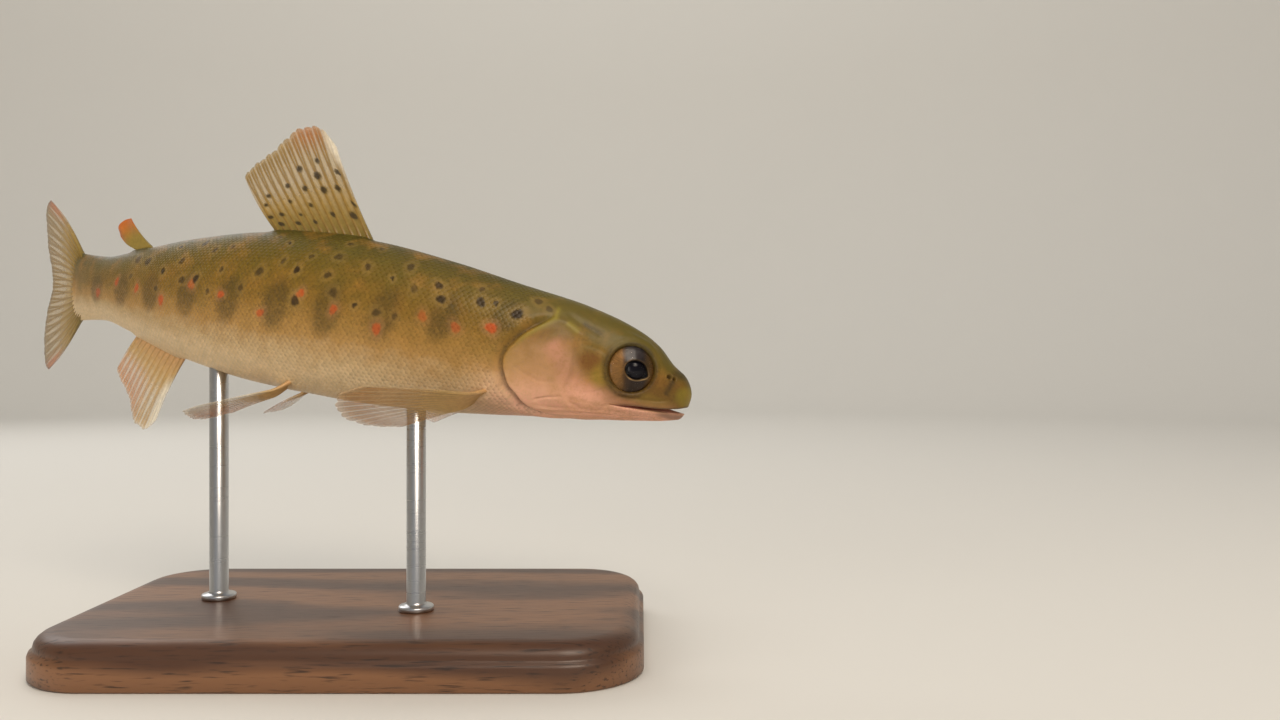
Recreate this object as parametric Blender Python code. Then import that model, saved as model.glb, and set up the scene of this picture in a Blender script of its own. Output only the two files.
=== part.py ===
"""A brown trout parr, life size, held over a flat base by two short rods.

The fish is shaped in its own straight space, in millimetres: the first number runs back from the tip of
the snout, the second towards the fish's left, the third towards its back. The bend of the body then
carries every point into the world, in metres, where the fish looks along +X and +Z is up.
The origin is the middle of the underside of the base.
"""

import math

import bmesh
import bpy
import numpy as np
from mathutils import Matrix, Vector

# Driving sizes, in millimetres.
TOTAL_LENGTH = 90.0
TAIL_BASE = 77.0
NAPE = 15.0
SADDLE = 42.0
STALK_START = 66.5
EYE_ACROSS = 5.2
EYE_DEEP = 3.2
EYE_PLACE = (6.7, 1.1)
EYE_PROUD = 0.5
GAP = 0.3
MM = 0.001

# The bend of the body, in degrees: the head dips, and the tail swings to the fish's left.
HEAD_PITCH = 14.0
TAIL_PITCH = 4.0
TAIL_YAW = 47.0
STRAIGHT_TO = 16.0

# The stand, in millimetres.
SNOUT_PLACE = (35.0, -6.0, 27.0)
BASE_SIZE = (60.0, 38.0, 4.5)
BASE_CORNER = 8.0
BASE_BEVEL = 0.8
ROD_ACROSS = 2.0
ROD_PLACES = (28.0, 52.5)
ROD_IN_BASE = 3.0
ROD_IN_BODY = 2.6

# The body's outline at named places: place, back, belly, half width, height of the widest point.
STATIONS = {
    "snout": (0.0, 1.25, -2.55, 1.55, -0.50),
    "nostril": (2.4, 2.45, -3.35, 2.30, -0.50),
    "brow": (4.5, 4.10, -3.85, 2.85, -0.40),
    "eye": (6.7, 5.10, -4.35, 3.25, -0.40),
    "cheek": (10.0, 5.95, -5.00, 3.80, -0.50),
    "nape": (15.0, 6.65, -6.10, 4.50, -0.50),
    "shoulder": (20.0, 7.05, -7.10, 5.00, -0.40),
    "breast": (27.0, 7.85, -8.15, 5.25, -0.20),
    "saddle": (36.0, 8.55, -8.70, 5.25, 0.00),
    "loin": (46.0, 8.15, -8.45, 4.70, 0.10),
    "vent": (56.5, 6.65, -7.15, 3.60, 0.20),
    "wrist": (66.5, 4.70, -4.80, 2.30, 0.10),
    "stalk": (72.0, 3.90, -3.80, 1.60, 0.00),
    "tail_root": (77.5, 4.15, -4.10, 0.80, 0.00),
}
SNOUT_ROUNDING = 1.5
JAW_ROUNDING = 0.8
SNOUT_CENTRE = -0.35

# How square the cross-section is along the body: 2 is an ellipse.
BACK_FULLNESS = [(0.0, 2.1), (5.0, 2.6), (11.0, 2.5), (22.0, 2.15), (77.5, 2.1)]
BELLY_FULLNESS = [(0.0, 2.1), (8.0, 2.3), (20.0, 2.1), (77.5, 2.0)]

# The mouth, a little open: edges of (place, height) of the upper lip and of the lower jaw.
LIP_EDGE = [(-2.0, -0.95), (0.3, -1.4), (3.4, -2.15), (7.7, -2.7)]
JAW_EDGE = [(-2.0, -1.88), (7.7, -3.0)]
JAW_START = 0.3
JAW_END = 8.6
JAW_HINGE = (0.6, 4.05)
JAW_TIP = [(0.0, -1.9), (0.0, -2.6), (0.5, -3.4), (0.0, -9.0)]
BELOW = -9.0
AHEAD = -2.0
WIDE = 12.0

RINGS_PER_MM = 0.62
SPOKES = 28
SHARP_OVER = 40.0

FLESH = (0.36, 0.31, 0.13)
PALE = (0.62, 0.52, 0.36)
CHEEK = (0.44, 0.37, 0.17)
AMBER = (0.52, 0.40, 0.18)
BLACK = (0.02, 0.02, 0.025)
WALNUT = (0.16, 0.09, 0.05)
STEEL = (0.62, 0.62, 0.64)


def through(points, at):
    """Values at the places `at` on a smooth curve through (place, value) points that never overshoots."""
    place, value = np.array(points, float).T
    step = np.diff(place)
    rise = np.diff(value) / step
    slope = np.concatenate([[rise[0]], np.zeros(len(place) - 2), [rise[-1]]])
    same_way = rise[:-1] * rise[1:] > 0
    middle = 2 * rise[:-1] * rise[1:] / np.where(same_way, rise[:-1] + rise[1:], 1.0)
    slope[1:-1] = np.where(same_way, middle, 0.0)
    at = np.clip(np.asarray(at, float), place[0], place[-1])
    left = np.clip(np.searchsorted(place, at, side="right") - 1, 0, len(step) - 1)
    t = (at - place[left]) / step[left]
    return (
        value[left] * (1 + 2 * t) * (1 - t) ** 2
        + slope[left] * step[left] * t * (1 - t) ** 2
        + value[left + 1] * t * t * (3 - 2 * t)
        + slope[left + 1] * step[left] * t * t * (t - 1)
    )


def outline(column, s):
    """One column of the stations at s: 1 back, 2 belly, 3 half width, 4 widest height."""
    return through([(row[0], row[column]) for row in STATIONS.values()], s)


def section(s):
    """Back, belly, half width and widest height at s, with the tip of the snout rounded off."""
    s = np.asarray(s, float)
    above, below = (
        np.sqrt(1 - (1 - np.clip(s / length, 0.0, 1.0)) ** 2) for length in (SNOUT_ROUNDING, JAW_ROUNDING)
    )
    back, belly, wide = (
        SNOUT_CENTRE + (outline(column, s) - SNOUT_CENTRE) * rounding
        for column, rounding in ((1, above), (2, below), (4, above))
    )
    return back, belly, outline(3, s) * above, wide


def fullness(s, above):
    """The exponent of the cross-section at s, above or below its widest point."""
    return np.where(above, through(BACK_FULLNESS, s), through(BELLY_FULLNESS, s))


def surface(s, angle, inset=0.0):
    """Points of the body's surface. The angle is 0 at the fish's left and a quarter turn at its back."""
    back, belly, width, wide = section(s)
    across, up = np.cos(angle), np.sin(angle)
    full = fullness(s, up >= 0)
    reach = np.where(up >= 0, back - wide, wide - belly)
    y = np.sign(across) * np.abs(across) ** (2 / full) * (width - inset)
    z = wide + np.sign(up) * np.abs(up) ** (2 / full) * (reach - inset)
    return np.stack([np.broadcast_to(s, y.shape), y, z], axis=-1)


def outward(s, angle, step=0.02):
    """Unit normals of the surface."""
    along = surface(s + step, angle) - surface(s - step, angle)
    round_ = surface(s, angle + step) - surface(s, angle - step)
    normal = np.cross(round_, along)
    return normal / np.linalg.norm(normal, axis=-1, keepdims=True)


def angle_at(s, height, left):
    """The angle at which the surface reaches a height, on the fish's left or right."""
    back, belly, _, wide = section(s)
    reach = np.where(height >= wide, back - wide, wide - belly)
    full = fullness(s, height >= wide)
    share = np.clip(np.abs(height - wide) / reach, 0, 1) ** (full / 2)
    rise = np.sign(height - wide) * np.arcsin(share)
    return rise if left else math.pi - rise


def spine(step=0.25):
    """Places, points and the three axes of the body's middle line, from the snout back."""
    places = np.arange(0.0, TOTAL_LENGTH + 2.0, step)
    t = np.clip((places - STRAIGHT_TO) / (TOTAL_LENGTH - STRAIGHT_TO), 0, 1)
    yaw = np.radians(TAIL_YAW) * t * (0.75 + 0.25 * t)
    pitch = np.radians(HEAD_PITCH + (TAIL_PITCH - HEAD_PITCH) * t * (2 - t))
    flat = np.cos(pitch)
    back = np.stack([-np.cos(yaw) * flat, np.sin(yaw) * flat, np.sin(pitch)], axis=1)
    left = np.stack([np.sin(yaw), np.cos(yaw), np.zeros_like(yaw)], axis=1)
    up = np.cross(left, back)
    moved = np.concatenate([[[0, 0, 0]], np.cumsum((back[1:] + back[:-1]) / 2 * step, axis=0)])
    return places, moved + np.array(SNOUT_PLACE), back, left, up


SPINE = spine()


def bend(points):
    """Carries points of the straight fish, in millimetres, to the world, in metres."""
    points = np.asarray(points, float)
    places, line, back, left, up = SPINE
    s = points[:, 0]

    def at(rows):
        return np.stack([np.interp(s, places, rows[:, k]) for k in range(3)], axis=1)

    ahead = np.minimum(s, 0.0)[:, None] * at(back)
    return (at(line) + ahead + at(left) * points[:, 1:2] + at(up) * points[:, 2:3]) * MM


def material(name, colour, roughness, metallic=0.0):
    """A plain Principled material."""
    made = bpy.data.materials.new(name)
    made.use_nodes = True
    shader = made.node_tree.nodes["Principled BSDF"]
    shader.inputs["Base Color"].default_value = (*colour, 1.0)
    shader.inputs["Roughness"].default_value = roughness
    shader.inputs["Metallic"].default_value = metallic
    made.diffuse_color = (*colour, 1.0)
    return made


def add(name, points, faces, finish, smooth_under=SHARP_OVER):
    """A mesh object with outward faces. Points are taken as they are."""
    mesh = bpy.data.meshes.new(name)
    mesh.from_pydata([tuple(p) for p in np.asarray(points, float)], [], faces)
    tidy = bmesh.new()
    tidy.from_mesh(mesh)
    bmesh.ops.recalc_face_normals(tidy, faces=tidy.faces)
    tidy.to_mesh(mesh)
    tidy.free()
    mesh.shade_smooth()
    mesh.set_sharp_from_angle(angle=math.radians(smooth_under))
    made = bpy.data.objects.new(name, mesh)
    bpy.context.scene.collection.objects.link(made)
    mesh.materials.append(finish)
    return made


def cutter(points, faces):
    """A closed mesh that only cuts."""
    made = add("cutter", points, faces, None)
    made.hide_render = True
    made.display_type = "WIRE"
    return made


def cut(target, tool, operation="DIFFERENCE"):
    """Applies an exact Boolean and removes the tool."""
    modifier = target.modifiers.new("cut", "BOOLEAN")
    modifier.object = tool
    modifier.operation = operation
    graph = bpy.context.evaluated_depsgraph_get()
    whole = target.data
    target.data = bpy.data.meshes.new_from_object(target.evaluated_get(graph))
    target.modifiers.clear()
    target.data.name = target.name
    target.data.set_sharp_from_angle(angle=math.radians(SHARP_OVER))
    bpy.data.meshes.remove(whole)
    bpy.data.objects.remove(tool)


def grid_faces(rows, columns, wrap):
    """Quads of a grid of points, row by row."""
    faces = []
    for row in range(rows - 1):
        for column in range(columns if wrap else columns - 1):
            here = row * columns + column
            beside = row * columns + (column + 1) % columns
            faces.append((here, beside, beside + columns, here + columns))
    return faces


def loft(places, inset=0.0):
    """Points and faces of a length of the body between its first and last place, with flat ends."""
    angles = np.arange(SPOKES) * 2 * math.pi / SPOKES
    rings = surface(np.asarray(places)[:, None], angles[None, :], inset)
    faces = grid_faces(len(places), SPOKES, wrap=True)
    faces.append(tuple(range(SPOKES)))
    faces.append(tuple(reversed(range((len(places) - 1) * SPOKES, len(places) * SPOKES))))
    return rings.reshape(-1, 3), faces


def evenly(start, end, per_mm=RINGS_PER_MM):
    """Evenly spread places from start to end."""
    return np.linspace(start, end, max(2, round((end - start) * per_mm) + 1))


def slab(outline_points, half_thickness):
    """Points and faces of an upright plate: an outline of (place, height) carried across the fish."""
    count = len(outline_points)
    sides = [(s, y, z) for y in (-half_thickness, half_thickness) for s, z in outline_points]
    faces = [tuple(range(count)), tuple(reversed(range(count, 2 * count)))]
    faces += [(k, (k + 1) % count, count + (k + 1) % count, count + k) for k in range(count)]
    return sides, faces


def patch(front, rear, top, bottom, left, outer, inner, grow, rows=9, columns=8):
    """Points and faces of a plate that follows the body's side.

    Front and rear are curves of (share down, place), top and bottom are heights, outer and inner are
    depths below the surface, and grow widens it all round.
    """
    down = np.linspace(0.0, 1.0, rows)
    back = np.linspace(0.0, 1.0, columns)
    first = through(front, down)[:, None] - grow
    last = through(rear, down)[:, None] + grow
    s = first + (last - first) * back[None, :]
    height = (top + grow) + (bottom - top - 2 * grow) * down[:, None] + 0.0 * s
    angle = angle_at(s, height, left)
    normal = outward(s, angle)
    skin = surface(s, angle)
    sides = [(skin - normal * depth).reshape(-1, 3) for depth in (outer, inner)]
    return sheet_solid(sides[0], sides[1], rows, columns)


def sheet_solid(one_side, other_side, rows, columns):
    """Points and faces of the closed solid between two grids of points."""
    count = rows * columns
    faces = grid_faces(rows, columns, wrap=False)
    faces += [tuple(count + k for k in reversed(face)) for face in grid_faces(rows, columns, wrap=False)]
    rim = list(range(columns))
    rim += [row * columns + columns - 1 for row in range(1, rows)]
    rim += [(rows - 1) * columns + column for column in range(columns - 2, -1, -1)]
    rim += [row * columns for row in range(rows - 2, 0, -1)]
    for here, beside in zip(rim, rim[1:] + rim[:1]):
        faces.append((here, count + here, count + beside, beside))
    return np.concatenate([one_side, other_side]), faces


def blade(middle, rows, columns, root_thick, edge_thick):
    """Points and faces of a fin: middle(across, along) gives its middle surface, root to edge."""
    across, along = np.meshgrid(np.linspace(0, 1, columns), np.linspace(0, 1, rows))
    step = 1e-3
    points = middle(across, along)
    side = middle(across + step, along) - middle(across - step, along)
    out = middle(across, along + step) - middle(across, along - step)
    normal = np.cross(side, out)
    normal /= np.linalg.norm(normal, axis=-1, keepdims=True)
    half = (root_thick + (edge_thick - root_thick) * along[..., None]) / 2
    sides = [(points + normal * half * way).reshape(-1, 3) for way in (1, -1)]
    return sheet_solid(sides[0], sides[1], rows, columns)


def bent(name, points, faces, finish):
    """An object of the bent fish from points of the straight one."""
    return add(name, bend(points), faces, finish)


def bend_object(made):
    """Carries an object that was cut in the straight fish, which is a mirror image, into the world."""
    for vertex, place in zip(made.data.vertices, bend([v.co for v in made.data.vertices])):
        vertex.co = place
    made.data.flip_normals()
    made.data.update()


# --- head ---------------------------------------------------------------------------------------------


def below_edge(edge, grow):
    """Outline of all that lies under an edge of the mouth, ending at the jaw's hinge."""
    end = JAW_END + grow
    back, drop = JAW_HINGE
    return edge + [(end, -drop), (end - back, BELOW), (AHEAD, BELOW)]


def jaw_tip_cut():
    """The room in front of the lower jaw's tip, which stands a little behind the upper lip."""
    tip = [(JAW_START + further, height) for further, height in JAW_TIP]
    return [(AHEAD, -1.0)] + tip + [(AHEAD, BELOW)]


COVER_FRONT = [(0.0, 12.9), (0.35, 12.3), (0.7, 12.6), (1.0, 13.6)]
COVER_REAR = [(0.0, 15.6), (0.3, 18.2), (0.55, 19.2), (0.8, 18.4), (1.0, 16.2)]
COVER_TOP = 4.3
COVER_BOTTOM = -5.0
COVER_THICK = 0.8
COVER_CLEAR = 0.8


def gill_cover(left, depth, grow, outer):
    """Points and faces of one gill cover, or of the recess it lies in."""
    return patch(COVER_FRONT, COVER_REAR, COVER_TOP, COVER_BOTTOM, left, outer, depth, grow)


def recess(target):
    """Cuts both gill covers' places out of a length of the body."""
    for left in (True, False):
        cut(target, cutter(*gill_cover(left, COVER_THICK + GAP, GAP, -COVER_CLEAR)))


def eye_axes(left):
    """Centre and facing of an eye: it looks along the normal of the head's side."""
    s, height = EYE_PLACE
    angle = angle_at(s, height, left)
    facing = Vector(outward(np.array(s), np.array(angle)))
    centre = Vector(surface(np.array(s), np.array(angle))) + facing * (EYE_PROUD - EYE_DEEP / 2)
    return centre, facing


def eyeball(left, grow=0.0, round_steps=20, ring_steps=10):
    """Points and faces of a flattened ball that looks out of the head's side."""
    ball = bmesh.new()
    bmesh.ops.create_uvsphere(ball, u_segments=round_steps, v_segments=ring_steps, radius=1.0)
    centre, facing = eye_axes(left)
    turn = facing.to_track_quat("Z", "Y").to_matrix().to_4x4()
    across = EYE_ACROSS / 2 + grow
    size = Matrix.Diagonal((across, across, EYE_DEEP / 2 + grow, 1.0))
    bmesh.ops.transform(ball, matrix=Matrix.Translation(centre) @ turn @ size, verts=ball.verts)
    points = [v.co.copy() for v in ball.verts]
    faces = [tuple(v.index for v in face.verts) for face in ball.faces]
    ball.free()
    return points, faces


def snout_places(end):
    """Places along the head, crowded where the snout rounds over."""
    turn = np.linspace(0.12, 1.0, 5)
    rounded = SNOUT_ROUNDING * (1 - np.cos(turn * math.pi / 2))
    return np.concatenate([rounded, evenly(SNOUT_ROUNDING + 0.7, end, 1.15)])


def head(flesh):
    """The head from the snout to the nape, without its lower jaw, gill covers and eyes."""
    made = add("head", *loft(snout_places(NAPE - GAP / 2)), flesh)
    cut(made, cutter(*slab(below_edge(LIP_EDGE, GAP / 2), WIDE)))
    recess(made)
    for left in (True, False):
        cut(made, cutter(*eyeball(left, GAP)))
    bend_object(made)


def lower_jaw(flesh):
    """The lower jaw, dropped a little so that the mouth stands open."""
    made = add("lower_jaw", *loft(snout_places(JAW_END + 1.0)), flesh)
    cut(made, cutter(*slab(below_edge(JAW_EDGE, -GAP / 2), WIDE)), "INTERSECT")
    cut(made, cutter(*slab(jaw_tip_cut(), WIDE)))
    bend_object(made)


def gill_covers(flesh):
    """The two gill covers."""
    for left in (True, False):
        points, faces = gill_cover(left, COVER_THICK, 0.0, 0.0)
        bent("gill_cover_left" if left else "gill_cover_right", points, faces, flesh)


def eyes(finish):
    """The two eyes."""
    for left in (True, False):
        bent("eye_left" if left else "eye_right", *eyeball(left), finish)


# --- trunk and tail -----------------------------------------------------------------------------------


def body_lengths(flesh):
    """The trunk in two lengths and the stalk of the tail."""
    front = add("trunk_front", *loft(evenly(NAPE + GAP / 2, SADDLE - GAP / 2)), flesh)
    recess(front)
    bend_object(front)
    bent("trunk_rear", *loft(evenly(SADDLE + GAP / 2, STALK_START - GAP / 2)), flesh)
    bent("tail_stalk", *loft(evenly(STALK_START + GAP / 2, TAIL_BASE + 0.5)), flesh)
    return front, bpy.data.objects["trunk_rear"]


# --- fins ---------------------------------------------------------------------------------------------


def fan(base, angle, length, sweep, above):
    """The middle surface of a fin on the body's midline.

    Base is (first, last) place, angle (first, last) in degrees up from the body's line, length a curve of
    (share of base, ray length), sweep how far a ray bows back and above whether it stands on the back.
    """

    def middle(across, along):
        s = base[0] + (base[1] - base[0]) * across
        lean = np.radians(angle[0] + (angle[1] - angle[0]) * across)
        reach = through(length, across) * along
        back, belly, _, _ = section(s)
        root = np.where(above, back + GAP, -(belly - GAP))
        bow = sweep * (along * along - along)
        place = s + reach * np.cos(lean) - bow * np.sin(lean)
        height = root + reach * np.sin(lean) + bow * np.cos(lean)
        return np.stack([place, 0.0 * place, height if above else -height], axis=-1)

    return middle


DORSAL_LENGTH = [(0.0, 10.4), (0.07, 12.4), (0.18, 12.6), (0.6, 9.6), (0.92, 7.6), (1.0, 6.8)]
ANAL_LENGTH = [(0.0, 8.2), (0.1, 9.8), (0.22, 9.8), (0.6, 7.4), (0.92, 5.6), (1.0, 5.0)]
ADIPOSE_LENGTH = [(0.0, 4.6), (0.3, 5.0), (0.7, 4.5), (1.0, 3.2)]
FIN_EDGE = 0.5


def midline_fins(membrane, flesh):
    """The dorsal, anal and adipose fins."""
    dorsal = fan((36.0, 47.2), (60, 50), DORSAL_LENGTH, 0.9, True)
    anal = fan((57.8, 65.8), (62, 50), ANAL_LENGTH, 0.7, False)
    adipose = fan((64.4, 67.0), (40, 24), ADIPOSE_LENGTH, 0.8, True)
    bent("dorsal_fin", *blade(dorsal, 9, 14, 0.9, FIN_EDGE), membrane)
    bent("anal_fin", *blade(anal, 8, 12, 0.8, FIN_EDGE), membrane)
    bent("adipose_fin", *blade(adipose, 7, 7, 0.9, FIN_EDGE), flesh)


TAIL_FIN_LOBE = [(0.0, 12.6), (0.09, 14.0), (0.2, 13.2), (0.5, 8.8)]
TAIL_FIN_LENGTH = TAIL_FIN_LOBE + [(1 - share, length) for share, length in TAIL_FIN_LOBE[-2::-1]]
TAIL_FIN_SPREAD = 33.0


def tail_fin_middle(across, along):
    """The middle surface of the forked tail fin."""
    root_s = TAIL_BASE + 0.5 + GAP
    share = 1 - 2 * across
    back, belly, _, _ = section(TAIL_BASE + 0.5)
    root = (back - belly) / 2 * share * 0.96
    lean = np.radians(TAIL_FIN_SPREAD) * share
    reach = through(TAIL_FIN_LENGTH, across) * along
    bow = 0.8 * share * np.sin(math.pi * along)
    place = root_s + reach * np.cos(lean) - bow * np.sin(lean)
    return np.stack([place, 0.0 * place, root + reach * np.sin(lean) + bow * np.cos(lean)], axis=-1)


def paired_fin(place, height, length, spread, lean, droop, width, left):
    """The middle surface of a fin on the side or belly.

    It is rooted at (place, height) on the body's side over a short base of the given width, reaches back
    by its length, stands off the body by the lean and hangs by the droop, in degrees.
    """
    way = 1 if left else -1
    angle = angle_at(place, height, left)
    normal = outward(np.array(place), np.array(angle))
    root = surface(np.array(place), np.array(angle)) + normal * GAP
    out, down = math.radians(lean), math.radians(droop)
    axis = np.array([math.cos(out) * math.cos(down), way * math.sin(out) * math.cos(down), -math.sin(down)])
    line = np.array(FIN_BASE_LINE)
    line -= normal * (line @ normal)
    line /= np.linalg.norm(line)
    fan_side = np.cross(np.cross(axis, line), axis)
    fan_side /= np.linalg.norm(fan_side)

    def middle(across, along):
        share = across - 0.5
        turn = np.radians(spread) * share
        reach = through(length, across) * along
        base = root + line * (width * share)[..., None]
        ray = axis * np.cos(turn)[..., None] + fan_side * np.sin(turn)[..., None]
        lift = normal * (0.55 * (1 - along) ** 2)[..., None]
        return base + ray * reach[..., None] + lift

    return middle


FIN_BASE_LINE = (0.5, 0.0, -0.87)
PECTORAL_LENGTH = [(0.0, 13.4), (0.15, 14.6), (0.35, 14.0), (0.7, 10.6), (1.0, 7.4)]
PELVIC_LENGTH = [(0.0, 9.2), (0.15, 10.4), (0.4, 10.2), (0.75, 8.4), (1.0, 6.6)]


def paired_fins(membrane):
    """The pectoral and pelvic fins, one of each to a side."""
    for left in (True, False):
        side = "left" if left else "right"
        pectoral = paired_fin(20.6, -5.0, PECTORAL_LENGTH, 40, 32, 18, 1.9, left)
        pelvic = paired_fin(41.6, -7.7, PELVIC_LENGTH, 36, 24, 26, 1.5, left)
        bent(f"pectoral_fin_{side}", *blade(pectoral, 8, 9, 0.7, FIN_EDGE), membrane)
        bent(f"pelvic_fin_{side}", *blade(pelvic, 7, 8, 0.7, FIN_EDGE), membrane)


# --- stand --------------------------------------------------------------------------------------------


def rod(name, centre, bottom, top, across, finish, sides=20):
    """An upright rod, or a cutter of that shape."""
    ring = [(math.cos(k * 2 * math.pi / sides), math.sin(k * 2 * math.pi / sides)) for k in range(sides)]
    points = [
        (centre[0] + x * across / 2, centre[1] + y * across / 2, z) for z in (bottom, top) for x, y in ring
    ]
    faces = [tuple(range(sides)), tuple(reversed(range(sides, 2 * sides)))]
    faces += [(k, (k + 1) % sides, sides + (k + 1) % sides, sides + k) for k in range(sides)]
    return add(name, np.array(points) * MM, faces, finish)


def base(finish, corner_steps=6, rim_steps=2):
    """A flat plate with round corners and eased edges."""
    length, width, height = BASE_SIZE
    plate = bmesh.new()
    corners = []
    for quarter, (x, y) in enumerate(((1, 1), (-1, 1), (-1, -1), (1, -1))):
        centre = ((length / 2 - BASE_CORNER) * x, (width / 2 - BASE_CORNER) * y)
        for k in range(corner_steps + 1):
            turn = (quarter + k / corner_steps) * math.pi / 2
            corners.append((centre[0] + BASE_CORNER * math.cos(turn), centre[1] + BASE_CORNER * math.sin(turn)))
    bottom = plate.faces.new([plate.verts.new((x * MM, y * MM, 0.0)) for x, y in corners])
    raised = bmesh.ops.extrude_face_region(plate, geom=[bottom])["geom"]
    top = [v for v in raised if isinstance(v, bmesh.types.BMVert)]
    bmesh.ops.translate(plate, vec=(0, 0, height * MM), verts=top)
    rim = [e for e in plate.edges if all(v in set(top) for v in e.verts)]
    bmesh.ops.bevel(plate, geom=rim, offset=BASE_BEVEL * MM, segments=rim_steps, affect="EDGES")
    plate.normal_update()
    points = [v.co.copy() for v in plate.verts]
    plate.verts.index_update()
    faces = [tuple(v.index for v in face.verts) for face in plate.faces]
    plate.free()
    return add("stand_base", points, faces, finish, 30.0)


def stand(wood, steel, trunk):
    """The base and its two rods, let into the base and into the belly."""
    plate = base(wood)
    for name, place, length in zip(("front", "rear"), ROD_PLACES, trunk):
        belly = float(section(place)[1])
        foot = bend([[place, 0.0, belly]])[0] / MM
        bottom = BASE_SIZE[2] - ROD_IN_BASE
        top = foot[2] + ROD_IN_BODY
        rod(f"stand_rod_{name}", foot, bottom, top, ROD_ACROSS, steel)
        wide = ROD_ACROSS + 2 * GAP
        above_base = 2 * BASE_SIZE[2]
        for target, low, high in ((plate, bottom - GAP, above_base), (length, above_base, top + GAP)):
            tool = rod("cutter", foot, low, high, wide, None)
            tool.hide_render = True
            tool.display_type = "WIRE"
            cut(target, tool)


def main():
    """Builds the fish and its stand."""
    for old in list(bpy.data.objects):
        bpy.data.objects.remove(old)
    flesh = material("olive_skin", FLESH, 0.35)
    pale = material("pale_skin", PALE, 0.35)
    cheek = material("cheek_skin", CHEEK, 0.3)
    membrane = material("fin_membrane", AMBER, 0.4)
    eye = material("eye", BLACK, 0.08)
    wood = material("walnut", WALNUT, 0.45)
    steel = material("steel", STEEL, 0.3, 1.0)
    head(flesh)
    lower_jaw(pale)
    gill_covers(cheek)
    eyes(eye)
    trunk = body_lengths(flesh)
    midline_fins(membrane, flesh)
    bent("tail_fin", *blade(tail_fin_middle, 9, 21, 0.8, FIN_EDGE), membrane)
    paired_fins(membrane)
    stand(wood, steel, trunk)


main()
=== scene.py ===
"""Dresses the life-size model of a young brown trout on its display stand and sets up its studio.

Lengths inside the classes are millimetres. The fish is shaped straight: the first number runs back from
the tip of the snout, the second towards its left and the third towards its back. BodyForm.bend carries
points to their place in the model's frame, in metres. A point of the skin is also told by its place
along the fish and its share of the way round a side, from 0 at the back to 1 at the belly.
"""

import logging
import math
from dataclasses import dataclass
from enum import Enum
from functools import cached_property, partial
from typing import Any, Callable, Mapping, Sequence

import bmesh
import bpy
import numpy as np
from bpy.types import Material, NodeSocket, NodeTree, Object
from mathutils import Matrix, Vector


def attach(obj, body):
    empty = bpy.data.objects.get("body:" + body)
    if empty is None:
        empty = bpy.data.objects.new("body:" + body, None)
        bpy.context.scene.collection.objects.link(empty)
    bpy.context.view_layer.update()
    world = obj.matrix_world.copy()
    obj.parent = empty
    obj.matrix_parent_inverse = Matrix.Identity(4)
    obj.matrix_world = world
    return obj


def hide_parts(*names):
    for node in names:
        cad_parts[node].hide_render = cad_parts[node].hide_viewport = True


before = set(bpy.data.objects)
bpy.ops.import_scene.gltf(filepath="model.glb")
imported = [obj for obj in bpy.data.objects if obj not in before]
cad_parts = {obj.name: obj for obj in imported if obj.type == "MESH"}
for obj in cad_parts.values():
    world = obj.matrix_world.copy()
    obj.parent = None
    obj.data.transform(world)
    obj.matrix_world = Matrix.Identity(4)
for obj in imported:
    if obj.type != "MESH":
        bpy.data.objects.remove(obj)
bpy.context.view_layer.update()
LOG = logging.getLogger("trout")
MM = 0.001
SEED = 41
Array = np.ndarray
Points = Sequence[tuple[float, ...]]
Surface = Callable[[Array, Array], Array]


class Side(Enum):
    """A side of the fish, by the sign of its second coordinate."""

    LEFT = 1
    RIGHT = -1


class Relief(Enum):
    """How a line on the head stands out of the skin."""

    RIDGE = 1
    GROOVE = -1


# --- curves, colours, nodes and meshes ---


def through(points: Points, at: Array | float) -> Array:
    """Reads a smooth curve that passes through given points and never overshoots them.

    Args:
        points: (place, value) pairs in order of place.
        at: the places to read.

    Returns:
        The values at those places.
    """
    place, value = np.array(points, float).T
    step = np.diff(place)
    grade = np.diff(value) / step
    before, after = grade[:-1], grade[1:]
    same_way = before * after > 0
    middle = np.where(same_way, 2 * before * after / np.where(same_way, before + after, 1.0), 0.0)
    slope = np.concatenate([grade[:1], middle, grade[-1:]])
    at = np.clip(np.asarray(at, float), place[0], place[-1])
    left = np.clip(np.searchsorted(place, at, side="right") - 1, 0, len(step) - 1)
    t = (at - place[left]) / step[left]
    return (
        value[left] * (1 + 2 * t) * (1 - t) ** 2 + slope[left] * step[left] * t * (1 - t) ** 2
        + value[left + 1] * t * t * (3 - 2 * t) + slope[left + 1] * step[left] * t * t * (t - 1)
    )


def bump(distance: Array, width: float) -> Array:
    """A soft bell of height 1 at distance 0 that falls away over the width."""
    return np.exp(-((distance / width) ** 2))


def rise(value: Array, low: float, high: float) -> Array:
    """A smooth step from 0 at low to 1 at high; low may be the larger one."""
    t = np.clip((value - low) / (high - low), 0.0, 1.0)
    return t * t * (3 - 2 * t)


def linear(code: str, alpha: float = 1.0) -> tuple[float, float, float, float]:
    """Turns an sRGB hex colour into linear light.

    Args:
        code: six hex digits, with or without a leading #.
        alpha: the fourth number to give.

    Returns:
        Linear red, green and blue, and alpha.
    """
    values = [int(code.lstrip("#")[k : k + 2], 16) / 255 for k in (0, 2, 4)]
    light = [v / 12.92 if v <= 0.04045 else ((v + 0.055) / 1.055) ** 2.4 for v in values]
    return (light[0], light[1], light[2], alpha)


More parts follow.
